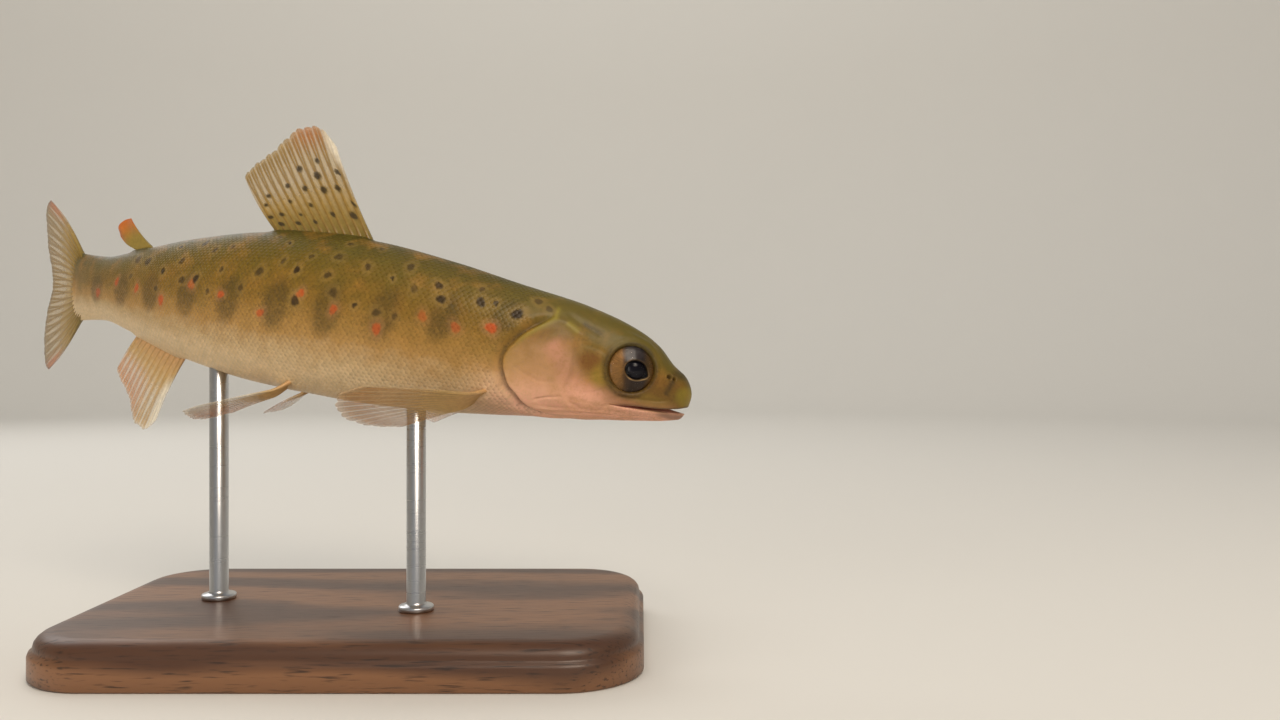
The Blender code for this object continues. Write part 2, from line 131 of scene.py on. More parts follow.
def add_node(tree: NodeTree, kind: str, settings: Mapping[Any, Any], give: str = "") -> NodeSocket:
    """Adds one shader node with its settings and links.

    Args:
        tree: the material's node tree.
        kind: Blender's name for the node, without the ShaderNode in front.
        settings: properties by attribute name, "stops" for a ramp, and values or other nodes' outputs for
            inputs by name or number; a colour Mix has its factor at 0 and its colours at 6 and 7.
        give: the name of the output that is wanted, if not the first one in use.

    Returns:
        That output.
    """
    made = tree.nodes.new(f"ShaderNode{kind}")
    for name, value in settings.items():
        if isinstance(value, NodeSocket):
            tree.links.new(value, made.inputs[name])
        elif name == "stops":
            while len(made.color_ramp.elements) < len(value):
                made.color_ramp.elements.new(1.0)
            for stop, (place, colour) in zip(made.color_ramp.elements, value):
                stop.position = place
                stop.color = colour
        elif isinstance(name, str) and hasattr(made, name):
            setattr(made, name, value)
        else:
            made.inputs[name].default_value = value
    return made.outputs[give] if give else next(output for output in made.outputs if output.enabled)


def grid_quads(rows: int, columns: int, wrap: bool = False) -> Array:
    """Lists the quads of a grid of points that is stored row by row.

    Args:
        rows: how many rows the grid has.
        columns: how many points a row has.
        wrap: whether each row closes on itself.

    Returns:
        Four point numbers for each quad.
    """
    row = np.arange(rows - 1)[:, None]
    column = np.arange(columns if wrap else columns - 1)[None, :]
    here = row * columns + column
    beside = row * columns + (column + 1) % columns
    return np.stack([here, beside, beside + columns, here + columns], axis=-1).reshape(-1, 4)


def make_piece(
    name: str, points: Array, quads: Array, material: Material, marks: Mapping[str, Array] | None = None,
    unwrap: Array | None = None, weld: bool = False,
) -> Object:
    """Makes a smooth mesh object from quads.

    Args:
        name: the piece's name.
        points: places in metres.
        quads: four point numbers for each face.
        material: the finish it wears.
        marks: a value or a vector for each point, by the name that the finish reads.
        unwrap: a place on the OFBake map for each corner of each face.
        weld: whether points that lie on each other become one.

    Returns:
        The object.
    """
    mesh = bpy.data.meshes.new(name)
    mesh.vertices.add(len(points))
    mesh.vertices.foreach_set("co", np.ascontiguousarray(points, np.float32).ravel())
    mesh.loops.add(quads.size)
    mesh.loops.foreach_set("vertex_index", quads.astype(np.int32).ravel())
    mesh.polygons.add(len(quads))
    mesh.polygons.foreach_set("loop_start", np.arange(0, quads.size, 4, dtype=np.int32))
    mesh.update(calc_edges=True)
    for mark, values in (marks or {}).items():
        kind, slot = ("FLOAT_VECTOR", "vector") if values.ndim == 2 else ("FLOAT", "value")
        layer = mesh.attributes.new(mark, kind, "POINT")
        layer.data.foreach_set(slot, np.ascontiguousarray(values, np.float32).ravel())
    if unwrap is not None:
        mesh.uv_layers.new(name="OFBake").data.foreach_set("uv", unwrap.astype(np.float32).ravel())
    if weld:
        work = bmesh.new()
        work.from_mesh(mesh)
        bmesh.ops.remove_doubles(work, verts=work.verts, dist=1e-7)
        bmesh.ops.recalc_face_normals(work, faces=work.faces)
        work.to_mesh(mesh)
        work.free()
    mesh.shade_smooth()
    mesh.materials.append(material)
    made = bpy.data.objects.new(name, mesh)
    bpy.context.scene.collection.objects.link(made)
    return made


def sheet_quads(rows: int, columns: int) -> Array:
    """Lists the quads of a closed slab between two grids of the same size, stored one after the other.

    Args:
        rows: how many rows each grid has.
        columns: how many points a row has.

    Returns:
        Four point numbers for each quad.
    """
    count = rows * columns
    near = grid_quads(rows, columns)
    rim = np.concatenate(
        [
            np.arange(columns), np.arange(1, rows) * columns + columns - 1,
            (rows - 1) * columns + np.arange(columns - 2, -1, -1), np.arange(rows - 2, 0, -1) * columns,
        ]
    )
    beside = np.roll(rim, -1)
    edge = np.stack([rim, count + rim, count + beside, beside], axis=-1)
    return np.concatenate([near, near[:, ::-1] + count, edge])


def circle(turn: Array) -> Array:
    """Gives points of the level unit circle at angles."""
    return np.stack([np.cos(turn), np.sin(turn), 0 * turn], axis=-1)


# --- the fish's form ---


@dataclass(frozen=True)
class BodyForm:
    """The straight body's outline and the bend that carries it to its place, as the solids have them."""

    stations: Points = (
        (0.0, 1.25, -2.55, 1.55, -0.50),
        (2.4, 2.45, -3.35, 2.30, -0.50),
        (4.5, 4.10, -3.85, 2.85, -0.40),
        (6.7, 5.10, -4.35, 3.25, -0.40),
        (10.0, 5.95, -5.00, 3.80, -0.50),
        (15.0, 6.65, -6.10, 4.50, -0.50),
        (20.0, 7.05, -7.10, 5.00, -0.40),
        (27.0, 7.85, -8.15, 5.25, -0.20),
        (36.0, 8.55, -8.70, 5.25, 0.00),
        (46.0, 8.15, -8.45, 4.70, 0.10),
        (56.5, 6.65, -7.15, 3.60, 0.20),
        (66.5, 4.70, -4.80, 2.30, 0.10),
        (72.0, 3.90, -3.80, 1.60, 0.00),
        (77.5, 4.15, -4.10, 0.80, 0.00),
        (79.3, 4.40, -4.35, 0.44, 0.00),
        (81.2, 4.75, -4.70, 0.10, 0.00),
    )
    back_fullness: Points = ((0.0, 2.1), (5.0, 2.6), (11.0, 2.5), (22.0, 2.15), (77.5, 2.1))
    belly_fullness: Points = ((0.0, 2.1), (8.0, 2.3), (20.0, 2.1), (77.5, 2.0))
    snout_rounding: float = 1.5
    jaw_rounding: float = 0.8
    snout_centre: float = -0.35
    total_length: float = 90.0
    straight_to: float = 16.0
    head_pitch: float = 14.0
    tail_pitch: float = 4.0
    tail_yaw: float = 47.0
    snout_place: tuple[float, float, float] = (35.0, -6.0, 27.0)
    coat_depth: float = 0.12
    coat_start: tuple[float, float] = (13.0, 17.0)
    angle_steps: int = 900
    share_steps: int = 600

    def section(self, s: Array | float) -> tuple[Array, Array, Array, Array]:
        """Gives the cross-section at s.

        Args:
            s: places along the fish.

        Returns:
            The heights of the back and belly, the half width and the height of the widest point.
        """
        s = np.asarray(s, float)
        above, below = (
            np.sqrt(1 - (1 - np.clip(s / length, 0.0, 1.0)) ** 2)
            for length in (self.snout_rounding, self.jaw_rounding)
        )
        back, belly, width, wide = (
            through([(row[0], row[column]) for row in self.stations], s) for column in (1, 2, 3, 4)
        )
        centre = self.snout_centre
        return (
            centre + (back - centre) * above, centre + (belly - centre) * below, width * above,
            centre + (wide - centre) * above,
        )

    def fullness(self, s: Array, above: Array) -> Array:
        """Gives how square the section is, above or below its widest point."""
        return np.where(above, through(self.back_fullness, s), through(self.belly_fullness, s))

    def surface(self, s: Array, angle: Array) -> Array:
        """Gives points of the surface.

        Args:
            s: places along the fish.
            angle: angles round it, from 0 at the left to a quarter turn at the back.

        Returns:
            The points.
        """
        back, belly, width, wide = self.section(s)
        across, up = np.cos(angle), np.sin(angle)
        full = self.fullness(s, up >= 0)
        reach = np.where(up >= 0, back - wide, wide - belly)
        y = np.sign(across) * np.abs(across) ** (2 / full) * width
        z = wide + np.sign(up) * np.abs(up) ** (2 / full) * reach
        return np.stack([np.broadcast_to(s, y.shape), y, z], axis=-1)

    def outward(self, s: Array, angle: Array, step: float = 0.02) -> Array:
        """Gives the surface's unit normals.

        Args:
            s: places along the fish.
            angle: angles round it.
            step: how far away the points lie that are compared.

        Returns:
            The normals.
        """
        along = self.surface(s + step, angle) - self.surface(s - step, angle)
        around = self.surface(s, angle + step) - self.surface(s, angle - step)
        normal = np.cross(around, along)
        return normal / np.maximum(np.linalg.norm(normal, axis=-1, keepdims=True), 1e-12)

    @cached_property
    def _tables(self) -> tuple[Array, Array, Array, Array]:
        """Makes the tables for looking up places on the skin.

        Returns:
            Places along the fish, shares by angle, angles by share, and half girths.
        """
        places = np.concatenate([np.linspace(0.002, 2.0, 70), np.linspace(2.1, 81.1, 398)])
        angles = np.linspace(math.pi / 2, -math.pi / 2, self.angle_steps + 1)
        ring = self.surface(places[:, None], np.broadcast_to(angles, (len(places), len(angles))))
        run = np.cumsum(np.linalg.norm(np.diff(ring, axis=1), axis=-1), axis=1)
        run = np.concatenate([np.zeros((len(places), 1)), run], axis=1)
        shares = run / run[:, -1:]
        even = np.linspace(0, 1, self.share_steps + 1)
        by_share = np.stack([np.interp(even, row, angles) for row in shares])
        return places, shares, by_share, run[:, -1]

    def _look_up(self, table: Array, s: Array, column: Array) -> Array:
        """Reads a table between its places and columns.

        Args:
            table: a row of values for each of the tables' places.
            s: places along the fish.
            column: numbers of columns, with fractions.

        Returns:
            The values.
        """
        places = self._tables[0]
        s, column = np.broadcast_arrays(np.asarray(s, float), np.asarray(column, float))
        i = np.clip(np.searchsorted(places, s) - 1, 0, len(places) - 2)
        t = np.clip((s - places[i]) / (places[i + 1] - places[i]), 0, 1)
        j = np.clip(column.astype(int), 0, table.shape[1] - 2)
        f = np.clip(column - j, 0, 1)
        first = table[i, j] * (1 - f) + table[i, j + 1] * f
        second = table[i + 1, j] * (1 - f) + table[i + 1, j + 1] * f
        return first * (1 - t) + second * t

    def share_of_angle(self, s: Array, angle: Array) -> Array:
        """Gives the share of the way round the left side at an angle."""
        column = (math.pi / 2 - np.asarray(angle)) / math.pi * self.angle_steps
        return self._look_up(self._tables[1], s, column)

    def angle_of_share(self, s: Array, share: Array) -> Array:
        """Gives the angle on the left side at a share of the way round."""
        return self._look_up(self._tables[2], s, np.asarray(share) * self.share_steps)

    def half_girth(self, s: Array) -> Array:
        """Gives the length of the skin from back to belly on one side."""
        return np.interp(s, self._tables[0], self._tables[3])

    def share_of_height(self, s: Array, height: Array) -> Array:
        """Gives the share of the way round at which the side reaches a height.

        Args:
            s: places along the fish.
            height: heights.

        Returns:
            The shares.
        """
        s, height = np.broadcast_arrays(np.asarray(s, float), np.asarray(height, float))
        back, belly, _, wide = self.section(s)
        reach = np.where(height >= wide, back - wide, wide - belly)
        full = self.fullness(s, height >= wide)
        risen = np.clip(np.abs(height - wide) / np.maximum(reach, 1e-9), 0, 1) ** (full / 2)
        return self.share_of_angle(s, np.sign(height - wide) * np.arcsin(risen))

    def skin(self, s: Array, share: Array, lift: Array | float = 0.0, side: Side = Side.LEFT) -> Array:
        """Gives points of the skin.

        Args:
            s: places along the fish.
            share: shares of the way round the side.
            lift: how far the points stand off the skin, which under scales lies the coat's depth inside.
            side: which side of the fish.

        Returns:
            The points.
        """
        s, share, lift = np.broadcast_arrays(
            np.asarray(s, float), np.asarray(share, float), np.asarray(lift, float),
        )
        angle = self.angle_of_share(s, share)
        depth = self.coat_depth * rise(s, *self.coat_start)
        points = self.surface(s, angle) + self.outward(s, angle) * (lift - depth)[..., None]
        points[..., 1] *= side.value
        return points

    @cached_property
    def _spine(self) -> tuple[Array, Array, Array, Array, Array]:
        """Works out the bent middle line, from the snout back.

        Returns:
            Places along the fish, and there the line's points and its ways back, left and up.
        """
        step = 0.25
        places = np.arange(0.0, self.total_length + 2.0, step)
        t = np.clip((places - self.straight_to) / (self.total_length - self.straight_to), 0, 1)
        yaw = np.radians(self.tail_yaw) * t * (0.75 + 0.25 * t)
        pitch = np.radians(self.head_pitch + (self.tail_pitch - self.head_pitch) * t * (2 - t))
        flat = np.cos(pitch)
        back = np.stack([-np.cos(yaw) * flat, np.sin(yaw) * flat, np.sin(pitch)], axis=1)
        left = np.stack([np.sin(yaw), np.cos(yaw), np.zeros_like(yaw)], axis=1)
        moved = np.cumsum((back[1:] + back[:-1]) / 2 * step, axis=0)
        line = np.concatenate([[[0, 0, 0]], moved]) + np.array(self.snout_place)
        return places, line, back, left, np.cross(left, back)

    def bend(self, points: Array) -> Array:
        """Carries points of the straight fish to the model's frame.

        Args:
            points: the points, in millimetres.

        Returns:
            The points, in metres.
        """
        points = np.asarray(points, float)
        places, line, back, left, up = self._spine
        s = points[..., 0]

        def at(rows: Array) -> Array:
            """Reads the spine's rows at every s."""
            return np.stack([np.interp(s, places, rows[:, k]) for k in range(3)], axis=-1)

        ahead = np.minimum(s, 0.0)[..., None] * at(back)
        return (at(line) + ahead + at(left) * points[..., 1:2] + at(up) * points[..., 2:3]) * MM


@dataclass(frozen=True)
class HeadForm:
    """The head's relief: mouth, lips, bones, gill cover, nostrils and orbit, by place and height."""

    body: BodyForm
    lip_edge: Points = ((0.0, -1.28), (0.3, -1.40), (1.5, -1.78), (3.4, -2.16), (5.7, -2.42), (7.7, -2.80))
    jaw_edge: Points = ((0.0, -2.04), (0.3, -2.10), (3.4, -2.50), (5.7, -2.72), (7.7, -2.86))
    corner: float = 7.7
    cover_top: float = 4.3
    cover_bottom: float = -5.0
    cover_rear: Points = ((0.0, 15.6), (0.3, 18.2), (0.55, 19.2), (0.8, 18.4), (1.0, 16.2))
    eye_place: tuple[float, float] = (6.7, 1.1)
    eye_opening: float = 2.45
    cover_throat: Points = ((0.25, 14.6), (0.55, 12.4), (0.8, 10.9), (1.0, 10.2))
    paired_roots: Points = ((21.2, -5.15, 1.35, 0.52), (42.1, -7.75, 1.15, 0.42))
    nostrils: Points = ((2.25, 1.15, 0.17), (2.80, 1.25, 0.20))
    lines: tuple[tuple[Relief, float, float, Points], ...] = (
        (Relief.RIDGE, 0.34, 0.11, ((0.9, -1.25), (2.5, -1.72), (4.5, -2.02), (6.5, -2.22), (7.9, -2.5))),
        (Relief.GROOVE, 0.14, 0.09, ((1.6, -0.9), (3.5, -1.45), (5.5, -1.68), (7.2, -1.85), (8.3, -2.45))),
        (Relief.GROOVE, 0.20, 0.07, ((7.9, -2.85), (8.6, -3.3), (8.9, -4.0))),
        (
            Relief.GROOVE, 0.24, 0.07,
            ((12.9, 3.1), (12.5, 1.2), (12.4, -0.9), (12.7, -2.5), (12.0, -3.7), (9.8, -4.2)),
        ),
        (
            Relief.RIDGE, 0.35, 0.07,
            ((12.3, 2.9), (11.9, 1.1), (11.8, -0.9), (12.0, -2.4), (11.2, -3.4), (9.6, -3.8)),
        ),
        (Relief.GROOVE, 0.13, 0.07, ((13.4, -1.9), (15.4, -2.3), (17.2, -1.8), (18.7, -0.9))),
        (Relief.GROOVE, 0.13, 0.06, ((12.7, -3.2), (14.3, -3.7), (15.9, -4.4))),
        (Relief.GROOVE, 0.42, 0.09, ((9.6, 3.5), (11.5, 4.0), (13.0, 4.5), (14.6, 5.2))),
        (Relief.RIDGE, 0.40, 0.08, ((11.6, 2.9), (13.0, 3.5), (14.3, 4.1), (15.8, 4.3))),
        (Relief.GROOVE, 0.14, 0.05, ((9.2, 0.3), (10.3, -0.4), (11.7, -0.9))),
        (Relief.GROOVE, 0.14, 0.05, ((8.6, -1.2), (9.7, -2.0), (11.4, -2.6))),
        (Relief.GROOVE, 0.22, 0.03, ((9.3, 1.9), (10.5, 2.3), (12.2, 2.4))),
        (Relief.RIDGE, 0.55, 0.12, ((4.4, 3.1), (5.8, 3.95), (7.4, 4.25), (9.6, 3.9))),
        (Relief.GROOVE, 0.40, 0.04, ((3.0, 2.3), (4.8, 3.8), (7.0, 4.8), (10.0, 5.2))),
        (Relief.GROOVE, 0.12, 0.05, ((1.2, -2.85), (3.5, -3.15), (6.0, -3.5), (8.2, -3.7))),
    )

    @cached_property
    def mouth_starts(self) -> tuple[float, float]:
        """Finds where the upper lip and the lower jaw meet the middle of the snout.

        Returns:
            The lip's place and the jaw's.
        """
        s = np.linspace(0.001, 0.79, 4000)
        belly = self.body.section(s)[1]
        lip, jaw = (float(s[np.argmax(belly < through(edge, s))]) for edge in (self.lip_edge, self.jaw_edge))
        return lip, jaw

    def mouth_shares(self, s: Array) -> tuple[Array, Array]:
        """Gives the shares of the way round at which the upper lip and the lower jaw run.

        Args:
            s: places along the fish.

        Returns:
            The lip's and the jaw's shares, which behind the mouth are only lines of the mesh.
        """
        shares = []
        for edge, first, far in zip((self.lip_edge, self.jaw_edge), self.mouth_starts, (0.726, 0.79)):
            at_edge = self.body.share_of_height(s, through(edge, s))
            last = float(self.body.share_of_height(self.corner, edge[-1][1]))
            behind = through([(self.corner, last), (24.0, far)], s)
            share = np.where(s < self.corner, at_edge, behind)
            shares.append(np.where(s <= first, 1.0, share))
        return shares[0], np.maximum(shares[1], shares[0])

    @cached_property
    def gill_edge(self) -> Points:
        """Draws the free edge of the gill cover and its membrane.

        Returns:
            (share of the way round, place) pairs, from the top down.
        """
        edge = []
        for down in np.linspace(0.0, 1.0, 12):
            s = float(through(self.cover_rear, down))
            height = self.cover_top + (self.cover_bottom - self.cover_top) * down
            edge.append((float(self.body.share_of_height(s, height)), s))
        low = edge[-1][0]
        return (*edge, *((low + (1 - low) * part, s) for part, s in self.cover_throat))

    def behind_gill_edge(self, s: Array, share: Array) -> Array:
        """Gives how far behind the gill cover's free edge places lie, square to it.

        Args:
            s: places along the fish.
            share: shares of the way round the side.

        Returns:
            The distances, below 0 on the cover.
        """
        edge = through(self.gill_edge, share)
        step = 0.01
        slope = (through(self.gill_edge, share + step) - through(self.gill_edge, share - step)) / (2 * step)
        lean = slope / np.maximum(self.body.half_girth(s), 0.1)
        return (s - edge) / np.sqrt(1 + np.minimum(lean**2, 9.0))

    def on_side(self, line: Points) -> Array:
        """Lays a line on the left side.

        Args:
            line: its (place, height) pairs.

        Returns:
            Points of the line, closely spaced.
        """
        line = np.array(line, float)
        along = np.linspace(0, len(line) - 1, 12 * len(line))
        s, height = (np.interp(along, np.arange(len(line)), line[:, k]) for k in (0, 1))
        return self.body.skin(s, self.body.share_of_height(s, height))

    def distance(self, points: Array, line: Points) -> Array:
        """Gives the distance of points of the left side from a line of (place, height) pairs."""
        return nearest(points, self.on_side(line))[0]

    def trace(self, points: Array, line: Points, width: float) -> Array:
        """Gives a soft line of height 1 on the left side that fades out at both of its ends."""
        away, along = nearest(points, self.on_side(line))
        return bump(away, width) * rise(along, 0.0, 0.2) * rise(along, 1.0, 0.8)

    @cached_property
    def eye_frame(self) -> tuple[Array, Array, Array, Array]:
        """Sets the left eye's place.

        Returns:
            Its centre on the skin, and its ways out, forwards and up.
        """
        s, height = self.eye_place
        angle = self.body.angle_of_share(s, self.body.share_of_height(s, height))
        centre = self.body.surface(np.array(s), angle)
        out = self.body.outward(np.array(s), angle)
        ahead = np.array([-1.0, 0.0, 0.0])
        ahead = ahead - out * (ahead @ out)
        ahead /= np.linalg.norm(ahead)
        up = np.cross(ahead, out)
        return centre, out, ahead, up * np.sign(up[2])

    def from_eye(self, points: Array) -> tuple[Array, Array]:
        """Gives how far forwards and up points of the left side are from the eye's centre."""
        centre, _, ahead, up = self.eye_frame
        return (points - centre) @ ahead, (points - centre) @ up

    def relief(self, s: Array, share: Array) -> Array:
        """Gives how far the head's skin stands off its plain form.

        Args:
            s: places along the fish.
            share: shares of the way round the side.

        Returns:
            The lift at each place.
        """
        lift = np.zeros(s.shape)
        near = s < 24.0
        points = self.body.skin(s[near], share[near])
        here, where = s[near], share[near]
        height = points[:, 2]
        lifted = np.zeros(here.shape)
        for way, width, depth, line in self.lines:
            lifted += way.value * depth * self.trace(points, line, width)
        forwards, up = self.from_eye(points)
        radius = np.hypot(forwards, up * 1.02)
        rim = self.eye_opening
        lifted += 0.17 * bump(radius - rim - 0.22, 0.24) + 0.06 * bump(radius - rim - 0.8, 0.4)
        lifted -= 1.1 * rise(radius, rim + 0.02, rim - 0.32)
        for place, tall, size in self.nostrils:
            away = self.distance(points, ((place, tall), (place + 0.01, tall)))
            lifted += 0.09 * bump(away - size * 1.7, 0.09) - 0.38 * bump(away, size)
        lifted += self._lips(here, height)
        lifted += self._gill_cover(here, where)
        lifted += 0.005 * np.sin(here * 5.1 + 3 * np.sin(where * 31)) * np.sin(where * 74 + here * 1.7)
        lifted *= rise(here, 0.05, 1.2)
        lift[near] = lifted
        return lift

    def flesh(self, s: Array, share: Array) -> Array:
        """Gives how far the skin stands off its plain form, with the flesh that sheathes the fins' roots.

        Args:
            s: places along the fish.
            share: shares of the way round the side, in an array of the same shape.

        Returns:
            The lift at each place.
        """
        body = self.body
        lift = self.relief(s.ravel(), share.ravel()).reshape(s.shape)
        girth = body.half_girth(s)
        from_back, from_belly = share * girth, (1 - share) * girth
        lift += 0.30 * bump(from_back, 0.75) * rise(s, 35.2, 37.0) * rise(s, 47.8, 46.6)
        lift += 0.22 * bump(from_back, 0.6) * rise(s, 63.6, 64.8) * rise(s, 67.6, 66.6)
        lift += 0.30 * bump(from_belly, 0.7) * rise(s, 57.0, 58.4) * rise(s, 66.4, 65.2)
        for place, height, size, tall in self.paired_roots:
            across = (share - float(body.share_of_height(place, height))) * girth
            lift += tall * np.exp(-(((s - place) / (size * 1.3)) ** 2) - (across / size) ** 2)
        return lift

    def _lips(self, s: Array, height: Array) -> Array:
        """Rolls the lips over at the edge of the mouth.

        Args:
            s: places along the fish.
            height: their heights.

        Returns:
            The lift at each place.
        """
        lip, jaw = (height - through(edge, s) for edge in (self.lip_edge, self.jaw_edge))
        in_mouth = rise(s, self.corner + 0.6, self.corner - 0.6)
        upper = 0.09 * bump(lip - 0.16, 0.20) * (lip > -0.02) * in_mouth
        lower = 0.10 * bump(jaw + 0.18, 0.22) * (jaw < 0.02) * in_mouth
        return upper + lower

    def _gill_cover(self, s: Array, share: Array) -> Array:
        """Raises the gill cover's free edge over the body, with the rays of its membrane below it.

        Args:
            s: places along the fish.
            share: shares of the way round the side.

        Returns:
            The lift at each place.
        """
        behind = self.behind_gill_edge(s, share)
        strength = rise(share, float(self.gill_edge[0][0]) - 0.03, float(self.gill_edge[0][0]) + 0.06)
        plate = 0.12 * rise(behind, -1.6, -0.25) * rise(behind, 0.06, -0.06)
        gap = -0.30 * rise(behind, -0.06, 0.10) * rise(behind, 1.1, 0.22)
        collar = 0.07 * bump(behind - 1.5, 0.45)
        rays = 0.035 * np.cos((share - 0.78) * 150) * rise(share, 0.77, 0.82) * rise(share, 0.99, 0.95)
        rays *= rise(behind, -0.1, -0.6) * rise(behind, -6.0, -4.0)
        return (plate + gap + collar) * strength + rays


def nearest(points: Array, line: Array) -> tuple[Array, Array]:
    """Finds how near points come to a line.

    Args:
        points: the points.
        line: the line's own points, in order.

    Returns:
        Each point's distance from the line, and the share of the line's points before the nearest place.
    """
    best, along = np.full(len(points), 1e9), np.zeros(len(points))
    for number, (start, end) in enumerate(zip(line[:-1], line[1:])):
        span = end - start
        length = max(float(span @ span), 1e-12)
        t = np.clip((points - start) @ span / length, 0, 1)
        away = np.linalg.norm(points - start - t[:, None] * span, axis=1)
        along = np.where(away < best, (number + t) / (len(line) - 1), along)
        best = np.minimum(best, away)
    return best, along


# --- markings ---


@dataclass(frozen=True)
class Markings:
    """Where the skin and the scales are spotted, barred, flushed and darkened, each as a mask."""

    head: HeadForm
    lateral_line: Points = (
        (16.0, 3.1), (19.0, 2.3), (24.0, 1.4), (32.0, 0.8), (45.0, 0.35), (62.0, 0.1), (79.0, 0.0)
    )
    shown_dark: Points = (
        (26.3, 3.67, 0.44, 0.95),
        (26.9, 5.0, 0.40, 0.90),
        (22.6, 4.19, 0.48, 0.95),
        (21.2, 4.39, 0.30, 0.85),
        (22.9, 5.5, 0.32, 0.62),
        (18.95, 3.78, 0.54, 1.0),
        (17.4, 5.56, 0.38, 0.64),
        (16.2, 5.04, 0.34, 0.58),
    )
    shown_red: Points = ((21.0, 1.84, 0.50, 1.0), (24.3, 1.15, 0.46, 0.60), (27.65, 1.65, 0.46, 0.50))
    head_shade: Points = ((0.0, 0.50), (6.0, 0.56), (10.0, 0.70), (14.0, 0.88), (20.0, 1.0))
    # mask, strength, (place, height) pairs and width: below the nostrils, over the cheek, the gill cover
    head_streaks: tuple[tuple[str, float, Points, float], ...] = (
        ("shadow", 0.95, ((2.25, 1.3), (2.55, 0.2), (2.75, -0.9)), 0.36),
        ("shadow", 0.80, ((10.1, 3.75), (11.5, 4.1), (12.8, 4.55)), 0.30),
        ("shadow", 0.16, ((12.9, 3.0), (12.5, 1.1), (12.4, -0.9), (12.7, -2.5)), 0.30),
        ("yellow", 0.90, ((12.6, 3.3), (13.4, 3.75), (14.3, 4.2)), 0.34),
        ("flush", 0.80, ((15.8, 2.4), (14.3, 0.9), (13.0, -1.0), (10.8, -2.9)), 1.5),
    )
    # mask, strength, place, height, half length, half height and softness
    head_patches: tuple[tuple[Any, ...], ...] = (
        ("shadow", 0.85, 1.5, 1.75, 1.1, 0.5, 0.45),
        ("yellow", 0.75, 0.55, -0.35, 1.0, 1.0, 0.45),
        ("yellow", 0.45, 4.4, -1.5, 2.2, 0.6, 0.45),
        ("yellow", 0.60, 9.6, -0.3, 0.9, 1.2, 0.45),
        ("flush", 0.70, 10.6, -2.2, 2.4, 1.0, 0.7),
        ("flush", 0.36, 15.2, -0.6, 2.8, 3.2, 0.8),
        ("brown", 1.0, 11.0, 0.9, 1.1, 0.9, 0.5),
    )
    dark_reach: tuple[float, float] = (29.0, 66.0)
    dark_shares: tuple[float, float] = (0.10, 0.47)
    dark_count: int = 34
    red_spacing: float = 4.4
    bar_start: float = 19.9
    bar_spacing: float = 5.75
    bar_tall: Points = ((19.0, 1.9), (36.0, 3.0), (60.0, 2.2), (76.0, 1.6))
    bar_middle: Points = ((19.0, -1.5), (25.0, -0.7), (36.0, -0.2), (76.0, 0.0))

    def _spots(self, side: Side) -> tuple[Points, Points]:
        """Places every dark and red spot of a side.

        Args:
            side: which side; the right one has the spots that are known.

        Returns:
            Dark and red spots, each as (place, distance from the back, size, strength).
        """
        body = self.head.body
        chance = np.random.default_rng(SEED + side.value)
        known = side is Side.RIGHT
        shift = 0.0 if known else 0.9
        dark, red = [], []
        for s, height, size, strength in self.shown_dark:
            s, height = s + shift * chance.uniform(-1, 1), height + shift * 0.4 * chance.uniform(-1, 1)
            dark.append((s, float(body.share_of_height(s, height) * body.half_girth(s)), size, strength))
        tries = 0
        while len(dark) < self.dark_count + len(self.shown_dark) and tries < 4000:
            tries += 1
            s, share = chance.uniform(*self.dark_reach), chance.uniform(*self.dark_shares)
            size, strength = chance.uniform(0.22, 0.50), chance.uniform(0.55, 1.0)
            across = share * float(body.half_girth(s))
            if all(math.hypot(s - a, across - b) > 1.15 + size + c for a, b, c, _ in dark):
                dark.append((s, across, size, strength))
        for s, height, size, strength in self.shown_red:
            s = s + shift
            red.append((s, float(body.share_of_height(s, height) * body.half_girth(s)), size, strength))
        for k, s in enumerate(np.arange(31.6, 73.0, self.red_spacing)):
            s = s + chance.uniform(-0.5, 0.5)
            off = (0.045, -0.02, -0.075)[k % 3]
            share = float(self._lateral_share(s)) + off + chance.uniform(-0.012, 0.012)
            across = share * float(body.half_girth(s))
            red.append((s, across, chance.uniform(0.36, 0.50), chance.uniform(0.7, 1.0)))
        return dark, red

    def _lateral_share(self, s: Array | float) -> Array:
        """Gives the share of the way round at which the lateral line runs."""
        return self.head.body.share_of_height(s, through(self.lateral_line, s))

    def from_lateral_line(self, s: Array, share: Array) -> Array:
        """Gives how far below the lateral line places lie."""
        return (share - self._lateral_share(s)) * self.head.body.half_girth(s)

    @staticmethod
    def _spot_field(s: Array, across: Array, spots: Points, stretch: float) -> tuple[Array, Array]:
        """Measures how far places are from the nearest spot, in radii of that spot.

        The finish turns the distance into the spot and the ring round it, so its edge stays smooth between
        the mesh's points.

        Args:
            s: places along the fish.
            across: distances from the back.
            spots: (place, distance from the back, size, strength) of each.
            stretch: how much taller than long a spot is.

        Returns:
            The distances, 4 at the most, and the nearest spots' strengths.
        """
        field, strengths = np.full(s.shape, 4.0), np.zeros(s.shape)
        for number, (place, down, size, strength) in enumerate(spots):
            along, round_ = s - place, (across - down) / stretch
            close = np.nonzero(np.hypot(along, round_) < size * 5)[0]
            turn = np.arctan2(round_[close], along[close])
            wobble = 1 + 0.13 * np.cos(2 * turn + number) + 0.09 * np.cos(3 * turn + 2.3 * number)
            away = np.hypot(along[close], round_[close]) / (size * wobble)
            nearer = away < field[close]
            field[close[nearer]] = away[nearer]
            strengths[close[nearer]] = strength
        return field, strengths

